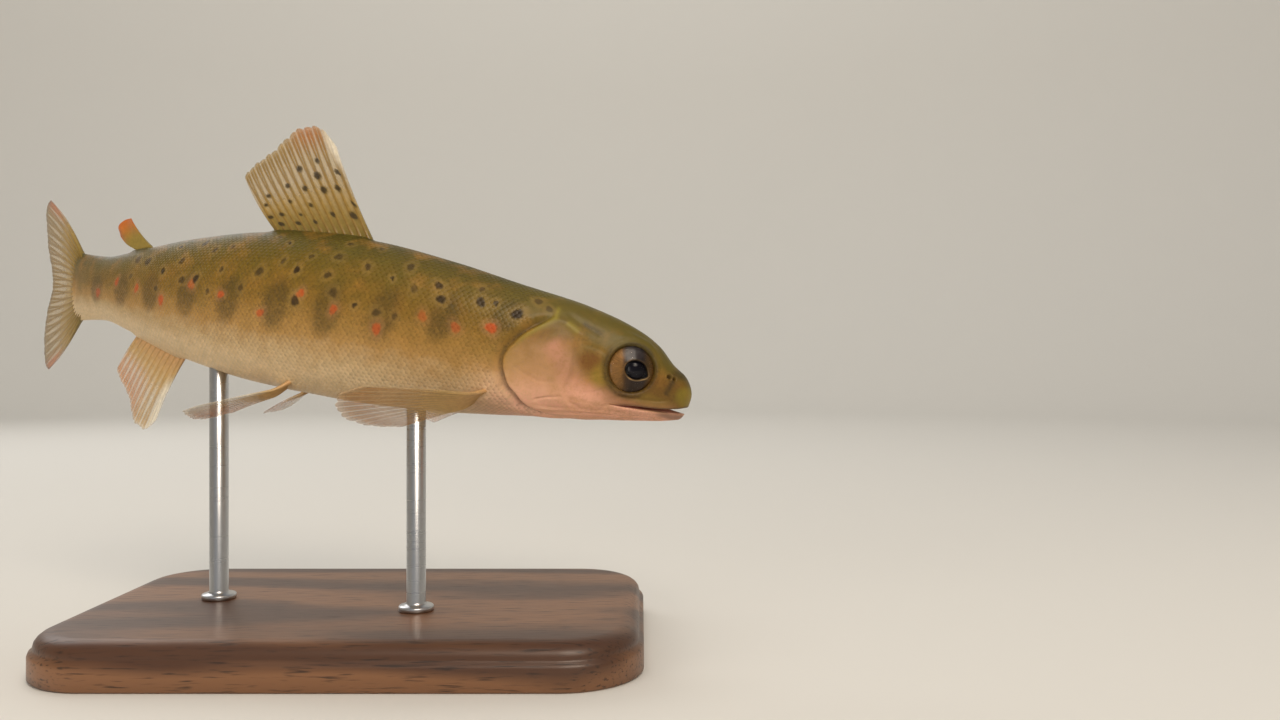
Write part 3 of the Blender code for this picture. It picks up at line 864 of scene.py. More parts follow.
    def paint(self, s: Array, share: Array, side: Side) -> dict[str, Array]:
        """Gives every mask at places on one side.

        Args:
            s: places along the fish.
            share: shares of the way round the side.
            side: which side.

        Returns:
            Masks from 0 to 1 by name, with the straight fish's points in tenths of a metre as "place".
        """
        body, head = self.head.body, self.head
        across = share * body.half_girth(s)
        dark_spots, red_spots = self._spots(side)
        dark, dark_strength = self._spot_field(s, across, dark_spots, 1.15)
        red, red_strength = self._spot_field(s, across, red_spots, 1.2)
        below_line = self.from_lateral_line(s, share)
        bar_place = (s - self.bar_start) / self.bar_spacing
        bar_away = (bar_place - np.round(bar_place)) * self.bar_spacing - 0.12 * below_line
        from_middle = (below_line - through(self.bar_middle, s)) / through(self.bar_tall, s)
        bar = rise(np.hypot(bar_away / 1.55, from_middle), 1.25, 0.60)
        bar *= rise(s, 17.6, 19.2) * rise(s, 75.5, 73.0)
        masks = {
            "dark": dark, "dark_strength": dark_strength, "red": red, "red_strength": red_strength,
            "bar": bar, "shade": np.clip(share * through(self.head_shade, s), 0, 1),
            "place": body.skin(s, share, 0.0, side) * 0.01,
        }
        for name in ("crown", "flush", "cream", "brown", "yellow", "shadow", "silver", "mouth"):
            masks[name] = np.zeros(s.shape)
        masks["silver"] = rise(share, 0.50, 0.72) * rise(s, 13.0, 20.0) * 0.8
        near = s < 24.0
        if near.any():
            for name, values in self._head_masks(s[near], share[near]).items():
                masks[name][near] = np.maximum(masks[name][near], values)
            behind = head.behind_gill_edge(s[near], share[near])
            plate = 0.75 * rise(behind, 0.2, -0.6) * rise(share[near], 0.36, 0.48) * rise(s[near], 11.0, 13.5)
            masks["silver"][near] = np.maximum(masks["silver"][near], plate)
        return masks

    def _head_masks(self, s: Array, share: Array) -> dict[str, Array]:
        """Gives the masks that only the head has.

        Args:
            s: places along the fish.
            share: shares of the way round the side.

        Returns:
            Masks from 0 to 1 by name.
        """
        head = self.head
        points = head.body.skin(s, share)
        height = points[:, 2]
        forwards, up = head.from_eye(points)
        radius = np.hypot(forwards, up)
        behind = head.behind_gill_edge(s, share)
        lip, jaw = (height - through(edge, s) for edge in (head.lip_edge, head.jaw_edge))
        in_mouth = s < head.corner + 0.5
        rim = head.eye_opening

        def patch(place: float, tall: float, long: float, high: float, soft: float = 0.45) -> Array:
            """A soft oval at a place and height."""
            away = np.hypot((s - place) / long, (height - tall) / high)
            return rise(away, 1 + soft, 1 - soft)

        drawn: dict[str, list[Array]] = {"shadow": [], "yellow": [], "flush": [], "brown": []}
        for mask, strength, line, width in self.head_streaks:
            drawn[mask].append(strength * head.trace(points, line, width))
        for mask, strength, *oval in self.head_patches:
            drawn[mask].append(strength * patch(*oval))
        throat = (jaw < 0.0) * rise(s, 8.6, 7.6)
        under_eye = 0.85 * patch(11.2, -3.3, 3.2, 1.5, 0.8) * (lip > -0.2)
        cream = np.maximum.reduce([rise(height, -0.4, -4.6) ** 1.2 * rise(s, 24.0, 16.0), throat, under_eye])
        cream *= 1 - 0.75 * rise(jaw, 0.4, 0.9) * rise(s, 7.4, 6.4)
        muzzle = rise(s, 9.4, 6.4) * rise(height, 1.9, 0.4) * rise(lip, 0.0, 0.15)
        muzzle *= 1 - patch(0.55, -0.35, 1.2, 1.2)
        orbit = rise(radius, rim + 0.42, rim + 0.05)
        crease = rise(forwards + up, 0.4, -1.6) * bump(radius - rim - 0.25, 0.38)
        lip_line = bump(lip - 0.05, 0.14) * in_mouth * rise(s, 8.0, 6.5)
        chin = (jaw < 0.05) * patch(1.6, -2.45, 1.7, 0.55)
        opening = rise(behind, -0.05, 0.06) * rise(behind, 0.65, 0.25) * rise(share, 0.26, 0.33)
        nostrils = [
            bump(head.distance(points, ((place, tall), (place + 0.01, tall))), size * 1.25)
            for place, tall, size in head.nostrils
        ]
        cover_edge = bump(behind + 0.28, 0.26) * rise(share, 0.16, 0.22) * rise(share, 0.50, 0.38)
        parts = ((0.9, orbit), (0.85, crease), (0.7, lip_line), (0.75, chin), (0.7, opening), (0.2, muzzle))
        drawn["shadow"] += nostrils + [strength * part for strength, part in parts]
        drawn["yellow"].append(0.95 * cover_edge)
        drawn["brown"].append(0.60 * muzzle)
        masks = {name: np.maximum.reduce(layers) for name, layers in drawn.items()}
        shadow = np.clip(masks["shadow"], 0, 1)
        lip_flush = 0.30 * bump(lip - 0.30, 0.32) * in_mouth * rise(s, 1.0, 2.2)
        return {
            "crown": rise(share, 0.42, 0.20) * rise(s, 22.0, 16.0), "cream": np.clip(cream, 0, 1),
            "shadow": shadow, "yellow": masks["yellow"] * (1 - 0.8 * shadow),
            "flush": np.maximum(masks["flush"] * rise(behind, -0.1, -0.7), lip_flush),
            "brown": 0.85 * masks["brown"],
        }


# --- finishes ---


class Finish:
    """A finish, which is a node material of its own."""

    def material(self, name: str) -> Material:
        """Builds the finish.

        Args:
            name: the material's name.

        Returns:
            The material.
        """
        made = bpy.data.materials.new(name)
        made.use_nodes = True
        tree = made.node_tree
        tree.nodes.clear()
        out = tree.nodes.new("ShaderNodeOutputMaterial")
        tree.links.new(self.surface(tree), out.inputs["Surface"])
        return made

    def surface(self, tree: NodeTree) -> NodeSocket:
        """Adds the finish's nodes and gives its shader."""
        raise NotImplementedError


@dataclass(frozen=True)
class TroutSkin(Finish):
    """Living trout skin: mucus over pigment cells, wet, satin to gloss, olive above and cream below.

    Mucus gives a clear, slightly broken highlight (IOR 1.38); plates of guanine under the flank and the
    gill cover give a silver that takes its tint from the pigment above it. Pigment cells are 0.05 to
    0.1 mm across and are drawn at 0.25 mm so that they show.
    """

    down_the_side: tuple[tuple[float, str], ...] = (
        (0.05, "4B4211"),
        (0.20, "655211"),
        (0.42, "826120"),
        (0.60, "AE8343"),
        (0.78, "E3C79C"),
    )
    amber: str = "B07A30"
    moss: str = "5B5218"
    speckle: str = "3E3410"
    cells_mm: float = 0.25
    mottle_mm: float = 1.6
    blotch_mm: float = 2.6
    layers: tuple[tuple[str, str, float], ...] = (
        ("silver", "BFA274", 0.45),
        ("bar", "483A16", 0.66),
        ("crown", "61541A", 0.70),
        ("flush", "D0907C", 0.70),
        ("cream", "EBB096", 0.88),
        ("brown", "6B3D0C", 0.90),
        ("yellow", "8F7F22", 0.70),
        ("shadow", "33260C", 0.85),
        ("mouth", "C98D7C", 1.0),
    )
    spots: tuple[tuple[str, float, float, str, float], ...] = (
        ("red", 2.4, 1.3, "B8855A", 0.25),
        ("red", 1.30, 0.66, "B94C18", 0.88),
        ("dark", 2.6, 1.5, "A58348", 0.26),
        ("dark", 1.30, 0.66, "271908", 0.93),
    )
    roughness: float = 0.46
    ior: float = 1.38
    scaled: bool = False

    def surface(self, tree: NodeTree) -> NodeSocket:
        """Adds the finish's nodes.

        Args:
            tree: the material's node tree.

        Returns:
            The shader.
        """
        place = add_node(tree, "Attribute", {"attribute_name": "place"}, give="Vector")
        shade = add_node(tree, "Attribute", {"attribute_name": "shade"}, give="Fac")
        patterns = ((self.mottle_mm, 4.0, 0.6), (self.cells_mm, 3.0, 0.7), (self.blotch_mm, 3.0, 0.5))
        mottle, cells, blotch = (
            add_node(tree, "TexNoise", {"Scale": 100 / mm, "Detail": fine, "Roughness": mix, "Vector": place})
            for mm, fine, mix in patterns
        )
        moved = add_node(tree, "Math", {"operation": "MULTIPLY_ADD", 0: mottle, 1: 0.16, 2: -0.08})
        tone = add_node(tree, "Math", {"operation": "ADD", 0: shade, 1: moved})
        stops = [(at, linear(code)) for at, code in self.down_the_side]
        colour = add_node(tree, "ValToRGB", {"stops": stops, "Fac": tone})
        both = add_node(tree, "Math", {"operation": "ADD", 0: cells, 1: mottle})
        fading, thinning, grain, uneven = (
            add_node(
                tree, "MapRange", {"From Min": a, "From Max": b, "To Min": c, "To Max": d, "Value": value},
            )
            for value, a, b, c, d in (
                (shade, 0.42, 0.66, 0.40, 0.10), (shade, 0.45, 0.72, 1.0, 0.15),
                (cells, 0.50, 0.68, 0.0, 0.42), (both, 0.78, 1.14, 0.58, 1.0),
            )
        )
        laid_over = []
        for low, high, code in ((0.52, 0.72, self.amber), (0.46, 0.28, self.moss)):
            limits = {"From Min": low, "From Max": high, "To Max": fading}
            laid_over.append((add_node(tree, "MapRange", {"Value": blotch, **limits}), code))
        grain = add_node(tree, "Math", {"operation": "MULTIPLY", 0: grain, 1: thinning})
        laid_over.append((grain, self.speckle))
        for mask, code, strength in self.layers:
            read = add_node(tree, "Attribute", {"attribute_name": mask}, give="Fac")
            share = add_node(tree, "Math", {"operation": "MULTIPLY", 0: read, 1: strength})
            laid_over.append((add_node(tree, "Math", {"operation": "MULTIPLY", 0: share, 1: uneven}), code))
        for mark, outside, inside, code, strength in self.spots:
            away = add_node(tree, "Attribute", {"attribute_name": mark}, give="Fac")
            own = add_node(tree, "Attribute", {"attribute_name": f"{mark}_strength"}, give="Fac")
            ragged = add_node(tree, "Math", {"operation": "MULTIPLY_ADD", 0: cells, 1: 0.5, 2: away})
            edge = {"From Min": outside + 0.25, "From Max": inside + 0.25, "To Max": strength}
            spot = add_node(tree, "MapRange", {"interpolation_type": "SMOOTHSTEP", "Value": ragged, **edge})
            laid_over.append((add_node(tree, "Math", {"operation": "MULTIPLY", 0: spot, 1: own}), code))
        for share, code in laid_over:
            colour = add_node(tree, "Mix", {"data_type": "RGBA", 0: share, 6: colour, 7: linear(code)})
        if self.scaled:
            colour = self._per_scale(tree, colour)
        silver = add_node(tree, "Attribute", {"attribute_name": "silver"}, give="Fac")
        metal = add_node(tree, "Math", {"operation": "MULTIPLY", 0: silver, 1: 0.35})
        limits = {"To Min": self.roughness - 0.08, "To Max": self.roughness + 0.14}
        fine = add_node(tree, "MapRange", {"Value": cells, **limits})
        raised = add_node(tree, "Bump", {"Strength": 0.35, "Distance": 0.03 * MM, "Height": cells})
        return add_node(
            tree, "BsdfPrincipled",
            {
                "IOR": self.ior, "Coat Weight": 0.12, "Coat Roughness": 0.28, "Coat IOR": 1.34,
                "Subsurface Weight": 0.12, "Subsurface Radius": (1.0, 0.55, 0.30),
                "Subsurface Scale": 0.5 * MM, "Base Color": colour, "Metallic": metal, "Roughness": fine,
                "Normal": raised,
            },
        )

    @staticmethod
    def _per_scale(tree: NodeTree, colour: NodeSocket) -> NodeSocket:
        """Gives each scale a tone of its own and a darker rear rim.

        Args:
            tree: the material's node tree.
            colour: the colour so far.

        Returns:
            The colour with both.
        """
        tone = add_node(tree, "Attribute", {"attribute_name": "tone"}, give="Fac")
        rim = add_node(tree, "Attribute", {"attribute_name": "rim"}, give="Fac")
        value = add_node(tree, "MapRange", {"To Min": 0.90, "To Max": 1.10, "Value": tone})
        darker = add_node(tree, "MapRange", {"From Min": 0.55, "To Min": 1.0, "To Max": 0.88, "Value": rim})
        value = add_node(tree, "Math", {"operation": "MULTIPLY", 0: value, 1: darker})
        return add_node(tree, "HueSaturation", {"Value": value, "Color": colour})


@dataclass(frozen=True)
class FinMembrane(Finish):
    """Wet fin: clear skin about 0.1 mm thick stretched between jointed bony rays.

    Light comes through the membrane (IOR 1.38) and less through the rays, which are amber to brown.
    """

    membrane: str = "A88A48"
    ray: str = "7C5E26"
    root: str = "75632A"
    tip: str = "B89A5C"
    spot: str = "2E2413"
    edge: str = "EFE6D0"
    flush: str = "C45A24"
    thinnest: float = 0.38

    def surface(self, tree: NodeTree) -> NodeSocket:
        """Adds the finish's nodes.

        Args:
            tree: the material's node tree.

        Returns:
            The shader.
        """
        marks = {
            mark: add_node(tree, "Attribute", {"attribute_name": mark}, give="Fac")
            for mark in ("ray", "along", "spot", "edge", "flush")
        }
        place = add_node(tree, "Attribute", {"attribute_name": "place"}, give="Vector")
        mottle = add_node(
            tree, "TexNoise", {"Scale": 100 / 0.5, "Detail": 4.0, "Roughness": 0.65, "Vector": place},
        )
        skin = add_node(
            tree, "ValToRGB",
            {
                "stops": [(0.0, linear(self.root)), (0.35, linear(self.membrane)), (1.0, linear(self.tip))],
                "Fac": marks["along"],
            },
        )
        colour = add_node(tree, "Mix", {"data_type": "RGBA", 0: marks["ray"], 6: skin, 7: linear(self.ray)})
        for mark, code in (("flush", self.flush), ("spot", self.spot), ("edge", self.edge)):
            colour = add_node(tree, "Mix", {"data_type": "RGBA", 0: marks[mark], 6: colour, 7: linear(code)})
        value = add_node(
            tree, "MapRange",
            {"From Min": 0.3, "From Max": 0.7, "To Min": 0.86, "To Max": 1.12, "Value": mottle},
        )
        colour = add_node(tree, "HueSaturation", {"Value": value, "Color": colour})
        solid = add_node(tree, "Math", {"operation": "MAXIMUM", 0: marks["ray"], 1: marks["spot"]})
        thick = add_node(
            tree, "MapRange",
            {"From Max": 0.6, "To Min": 1.0, "To Max": self.thinnest, "Value": marks["along"]},
        )
        alpha = add_node(
            tree, "Math", {"operation": "MULTIPLY_ADD", "use_clamp": True, 0: solid, 1: 0.45, 2: thick},
        )
        return add_node(
            tree, "BsdfPrincipled",
            {
                "Roughness": 0.32, "IOR": 1.38, "Coat Weight": 0.3, "Coat Roughness": 0.15, "Coat IOR": 1.34,
                "Base Color": colour, "Alpha": alpha,
            },
        )


@dataclass(frozen=True)
class EyeIris(Finish):
    """Iris: a skin of silver guanine over black pigment, seen through a wet, clear cornea."""

    silver: str = "76542A"
    gold_and_highlight: str = "A98A5C"
    shade: str = "3E2C12"
    bar: str = "110B10"
    pupil: str = "050406"

    def surface(self, tree: NodeTree) -> NodeSocket:
        """Adds the finish's nodes.

        Args:
            tree: the material's node tree.

        Returns:
            The shader.
        """
        marks = {
            mark: add_node(tree, "Attribute", {"attribute_name": mark}, give="Fac")
            for mark in ("rear", "ring", "bar", "rim", "pupil")
        }
        spun = add_node(tree, "Attribute", {"attribute_name": "spun"}, give="Vector")
        flecks = add_node(tree, "TexNoise", {"Scale": 1.0, "Detail": 3.0, "Roughness": 0.5, "Vector": spun})
        colour = add_node(
            tree, "Mix",
            {"data_type": "RGBA", 0: marks["rear"], 6: linear(self.shade), 7: linear(self.silver)},
        )
        value = add_node(
            tree, "MapRange",
            {"From Min": 0.3, "From Max": 0.7, "To Min": 0.62, "To Max": 1.25, "Value": flecks},
        )
        colour = add_node(tree, "HueSaturation", {"Value": value, "Color": colour})
        # The rim is painted shade in the bar's dark colour.
        # The ring is gold, with painted highlights on it.
        for mark, code in (("bar", self.bar), ("ring", self.gold_and_highlight), ("rim", self.bar), ("pupil", self.pupil)):
            colour = add_node(tree, "Mix", {"data_type": "RGBA", 0: marks[mark], 6: colour, 7: linear(code)})
        metal = add_node(
            tree, "Math", {"operation": "MULTIPLY_ADD", "use_clamp": True, 0: marks["bar"], 1: -0.5, 2: 0.30},
        )
        return add_node(
            tree, "BsdfPrincipled",
            {
                "Roughness": 0.45, "IOR": 1.38, "Specular IOR Level": 0.25, "Coat Weight": 0.5,
                "Coat Roughness": 0.14, "Coat IOR": 1.34, "Base Color": colour, "Metallic": metal,
            },
        )


@dataclass(frozen=True)
class EyeLens(Finish):
    """Fish lens: a clear, hard ball (IOR 1.4 at its skin) that looks black against the inside of the eye."""

    colour: str = "07060A"
    depth: str = "100E16"

    def surface(self, tree: NodeTree) -> NodeSocket:
        """Adds the finish's nodes.

        Args:
            tree: the material's node tree.

        Returns:
            The shader.
        """
        facing = add_node(tree, "TexCoord", {}, give="Object")
        depth = add_node(tree, "TexNoise", {"Scale": 900.0, "Detail": 2.0, "Vector": facing})
        colour = add_node(
            tree, "Mix", {"data_type": "RGBA", 0: depth, 6: linear(self.colour), 7: linear(self.depth)},
        )
        return add_node(
            tree, "BsdfPrincipled",
            {"Roughness": 0.10, "IOR": 1.4, "Specular IOR Level": 0.30, "Base Color": colour},
        )


@dataclass(frozen=True)
class ClearTissue(Finish):
    """Living clear tissue, such as a cornea: colourless, wet and polished.

    A cornea's IOR of 1.376 is nearly that of the water round a living fish and of the fluid behind it, so
    light passes it straight: it gets the ratio of the two. The eye's wet gloss is the iris's own coat.
    """

    tint: str = "FFFFFF"
    ior: float = 1.03
    transmission: float = 1.0
    roughness: float = 0.0

    def surface(self, tree: NodeTree) -> NodeSocket:
        """Adds the one shader node and gives it."""
        look = {"Base Color": linear(self.tint), "Roughness": self.roughness, "IOR": self.ior}
        return add_node(tree, "BsdfPrincipled", {"Transmission Weight": self.transmission, **look})


@dataclass(frozen=True)
class OiledWalnut(Finish):
    """Planed and oiled walnut: brown with darker annual rings 2 to 3 mm apart and pores 0.1 to 0.2 mm wide.

    Oil leaves a satin surface (IOR 1.5). The pores are drawn 0.25 mm wide so that they show.
    """

    light: str = "7B5436"
    dark: str = "4A2E1C"
    pore: str = "23140B"
    ring_mm: float = 2.6
    pore_mm: float = 0.25

    def surface(self, tree: NodeTree) -> NodeSocket:
        """Adds the finish's nodes.

        Args:
            tree: the material's node tree.

        Returns:
            The shader.
        """
        place = add_node(tree, "TexCoord", {}, give="Object")
        drift = add_node(tree, "Mapping", {"Scale": (12.0, 60.0, 60.0), "Vector": place})
        wander = add_node(tree, "TexNoise", {"Scale": 1.0, "Detail": 3.0, "Vector": drift}, give="Color")
        bent = add_node(
            tree, "Mix", {"data_type": "RGBA", "blend_type": "LINEAR_LIGHT", 0: 0.006, 6: place, 7: wander},
        )
        turned = add_node(
            tree, "Mapping", {"Location": (0.0, 0.011, 0.028), "Scale": (0.05, 1.0, 1.0), "Vector": bent},
        )
        rings = add_node(
            tree, "TexWave",
            {
                "wave_type": "RINGS", "rings_direction": "X", "Scale": 1 / (self.ring_mm * MM) / 20 * 3.14,
                "Distortion": 1.6, "Detail": 3.0, "Detail Scale": 1.2, "Vector": turned,
            },
            give="Fac",
        )
        colour = add_node(
            tree, "ValToRGB", {"stops": [(0.1, linear(self.dark)), (0.75, linear(self.light))], "Fac": rings},
        )
        fibre = add_node(
            tree, "Mapping",
            {
                "Scale": (1 / (self.pore_mm * 14 * MM), 1 / (self.pore_mm * MM), 1 / (self.pore_mm * MM)),
                "Vector": place,
            },
        )
        pores = add_node(tree, "TexNoise", {"Scale": 1.0, "Detail": 2.0, "Vector": fibre})
        open_ = add_node(
            tree, "MapRange", {"From Min": 0.56, "From Max": 0.70, "To Max": 0.8, "Value": pores},
        )
        colour = add_node(tree, "Mix", {"data_type": "RGBA", 0: open_, 6: colour, 7: linear(self.pore)})
        rough = add_node(tree, "MapRange", {"To Min": 0.36, "To Max": 0.52, "Value": pores})
        raised = add_node(
            tree, "Bump", {"Strength": 0.3, "Distance": 0.05 * MM, "invert": True, "Height": open_},
        )
        return add_node(
            tree, "BsdfPrincipled",
            {
                "IOR": 1.5, "Coat Weight": 0.15, "Coat Roughness": 0.25, "Base Color": colour,
                "Roughness": rough, "Normal": raised,
            },
        )


@dataclass(frozen=True)
class TurnedSteel(Finish):
    """Stainless rod turned on a lathe: pale grey, with tool lines 0.05 mm apart drawn at 0.15 mm."""

    colour: str = "C9CACC"
    lines_mm: float = 0.15

    def surface(self, tree: NodeTree) -> NodeSocket:
        """Adds the finish's nodes.

        Args:
            tree: the material's node tree.

        Returns:
            The shader.
        """
        place = add_node(tree, "TexCoord", {}, give="Object")
        turned = add_node(tree, "Mapping", {"Scale": (40.0, 40.0, 1 / (self.lines_mm * MM)), "Vector": place})
        lines = add_node(tree, "TexNoise", {"Scale": 1.0, "Detail": 2.0, "Vector": turned})
        rough = add_node(tree, "MapRange", {"To Min": 0.24, "To Max": 0.34, "Value": lines})
        raised = add_node(tree, "Bump", {"Strength": 0.06, "Distance": 0.02 * MM, "Height": lines})
        return add_node(
            tree, "BsdfPrincipled",
            {"Base Color": linear(self.colour), "Metallic": 1.0, "Roughness": rough, "Normal": raised},
        )


@dataclass(frozen=True)
class StudioPaper(Finish):
    """Matt background paper: pale, with a faint tooth about 0.3 mm across."""

    colour: str = "D9D6D0"

    def surface(self, tree: NodeTree) -> NodeSocket:
        """Adds the finish's nodes.

        Args:
            tree: the material's node tree.

        Returns:
            The shader.
        """
        place = add_node(tree, "TexCoord", {}, give="Object")
        tooth = add_node(tree, "TexNoise", {"Scale": 3300.0, "Detail": 2.0, "Vector": place})
        raised = add_node(tree, "Bump", {"Strength": 0.1, "Distance": 0.05 * MM, "Height": tooth})
        return add_node(
            tree, "BsdfPrincipled", {"Base Color": linear(self.colour), "Roughness": 0.85, "Normal": raised},
        )


# --- the fish's pieces ---


@dataclass
class Skin:
    """The one skin over head, jaw, gill covers and body, with an open mouth."""

    head: HeadForm
    markings: Markings
    tip_rows: int = 26
    head_end: float = 20.5
    head_rows: int = 196
    body_end: float = 81.0
    body_rows: int = 174
    upper_columns: int = 88
    mouth_columns: int = 8
    lower_columns: int = 26
    pocket_deep: float = 3.2
    nodes: tuple[str, ...] = (
        "head", "lower_jaw", "gill_cover_left", "gill_cover_right", "trunk_front", "trunk_rear", "tail_stalk"
    )

    def build(self) -> Object:
        """Builds the skin and puts it in place of the flesh.

        Returns:
            The skin.
        """
        rows, shares = self._grid()
        left = self._points(rows, shares, Side.LEFT)
        body, columns = self.head.body, shares.shape[1]
        lip = self.upper_columns
        first_open = int(np.searchsorted(rows, self.head.mouth_starts[0]))
        quads = grid_quads(len(rows), columns)
        closed = np.zeros((len(rows) - 1, columns - 1), bool)
        closed[:first_open, lip:] = True
        quads = quads[~closed.ravel()]
        count = left.shape[0] * columns
        both = np.concatenate([left.reshape(-1, 3), left.reshape(-1, 3) * (1, -1, 1)])
        faces = np.concatenate([quads, quads[:, ::-1] + count])
        flat_s = np.repeat(rows, columns)
        marks = [self._paint(flat_s, shares.ravel(), side) for side in Side]
        merged = {name: np.concatenate([mark[name] for mark in marks]) for name in marks[0]}
        made = make_piece(
            "trout_skin", body.bend(both), faces, TroutSkin().material("wet_trout_skin"), merged,
            self._unwrap(rows, shares, faces), weld=True,
        )
        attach(made, "root")
        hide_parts(*self.nodes)
        return made

    def _grid(self) -> tuple[Array, Array]:
        """Lays out the skin's rows and columns.

        Returns:
            Places of the rows, and for each row every column's share of the way round.
        """
        body, head = self.head.body, self.head
        turn = np.linspace(0.09, math.pi / 2, self.tip_rows)
        tip = body.snout_rounding * (1 - np.cos(turn))
        on_head = np.linspace(body.snout_rounding, self.head_end, self.head_rows)[1:]
        on_body = np.linspace(self.head_end, self.body_end, self.body_rows)[1:]
        rows = np.unique(np.concatenate([[0.0], tip, head.mouth_starts, on_head, on_body]))
        lip, jaw = (shares[:, None] for shares in head.mouth_shares(rows))
        upper = np.linspace(0, 1, self.upper_columns + 1)
        middle = np.linspace(0, 1, self.mouth_columns + 1)[1:]
        lower = np.linspace(0, 1, self.lower_columns + 1)[1:]
        bands = [lip * upper, lip + (jaw - lip) * middle, jaw + (1 - jaw) * lower]
        return rows, np.concatenate(bands, axis=1)

    def _points(self, rows: Array, shares: Array, side: Side) -> Array:
        """Gives the grid's points on one side, with the mouth's pocket pushed in.

        Args:
            rows: places of the rows.
            shares: each row's shares.
            side: which side.

        Returns:
            The points, by row and column.
        """
        head, body = self.head, self.head.body
        s = np.broadcast_to(rows[:, None], shares.shape)
        points = body.skin(s, shares, head.flesh(s, shares), side)
        first, jaw_first = head.mouth_starts
        lip, last = self.upper_columns, self.upper_columns + self.mouth_columns
        tip_row = int(np.searchsorted(rows, jaw_first))
        points[:tip_row, last:] = points[tip_row, last]
        open_rows = np.nonzero((rows >= first) & (rows <= head.corner + 0.3))[0]
        for row in open_rows:
            deep = float(np.clip(rows[row] / head.corner, 0, 1))
            start, end = points[row, lip].copy(), points[row, last].copy()
            inside = (rows[row] + self.pocket_deep * (1 - deep) ** 1.4, start[1] * (0.25 + 0.69 * deep**1.3))
            share = np.arange(1, self.mouth_columns)[:, None] / self.mouth_columns
            sunk = 1 - np.abs(2 * share - 1) ** 2.6
            flat = start + (end - start) * share
            flat[:, :2] += (inside - flat[:, :2]) * sunk
            points[row, lip + 1 : last] = flat
        points[:, (0, -1), 1] = 0.0
        points[0] = (0.0, 0.0, body.snout_centre)
        points[-1] = points[-1].mean(axis=0) * (1, 0, 1)
        points[: int(np.searchsorted(rows, first)) + 1, lip, 1] = 0.0
        return points

    def _paint(self, s: Array, share: Array, side: Side) -> dict[str, Array]:
        """Paints one side, and the inside of the mouth.

        Args:
            s: places along the fish.
            share: shares of the way round the side.
            side: which side.

        Returns:
            Masks by name.
        """
        marks = self.markings.paint(s, share, side)
        columns = self.upper_columns + self.mouth_columns + self.lower_columns + 1
        column = np.arange(len(s)) % columns
        lip, last = self.upper_columns, self.upper_columns + self.mouth_columns
        inside = (column > lip) & (column < last) & (s < self.head.corner + 0.1)
        marks["mouth"] = np.where(inside, 1.0, marks["mouth"])
        return marks

    def _unwrap(self, rows: Array, shares: Array, faces: Array) -> Array:
        """Lays the skin flat: each side is half the map, and the head has its larger share.

        Args:
            rows: places of the rows.
            shares: each row's shares.
            faces: the points of each face.

        Returns:
            A place on the map for each corner of each face.
        """
        tall = through(((0.0, 0.0), (self.head_end, 0.5), (self.body_end, 1.0)), rows)
        across = np.broadcast_to(np.linspace(0, 1, shares.shape[1]), shares.shape)
        down = np.broadcast_to(tall[:, None], shares.shape)
        map_left = np.stack([0.004 + 0.492 * across, 0.004 + 0.992 * down], -1).reshape(-1, 2)
        map_right = map_left * (-1, 1) + (1, 0)
        return np.concatenate([map_left, map_right])[faces.ravel()]


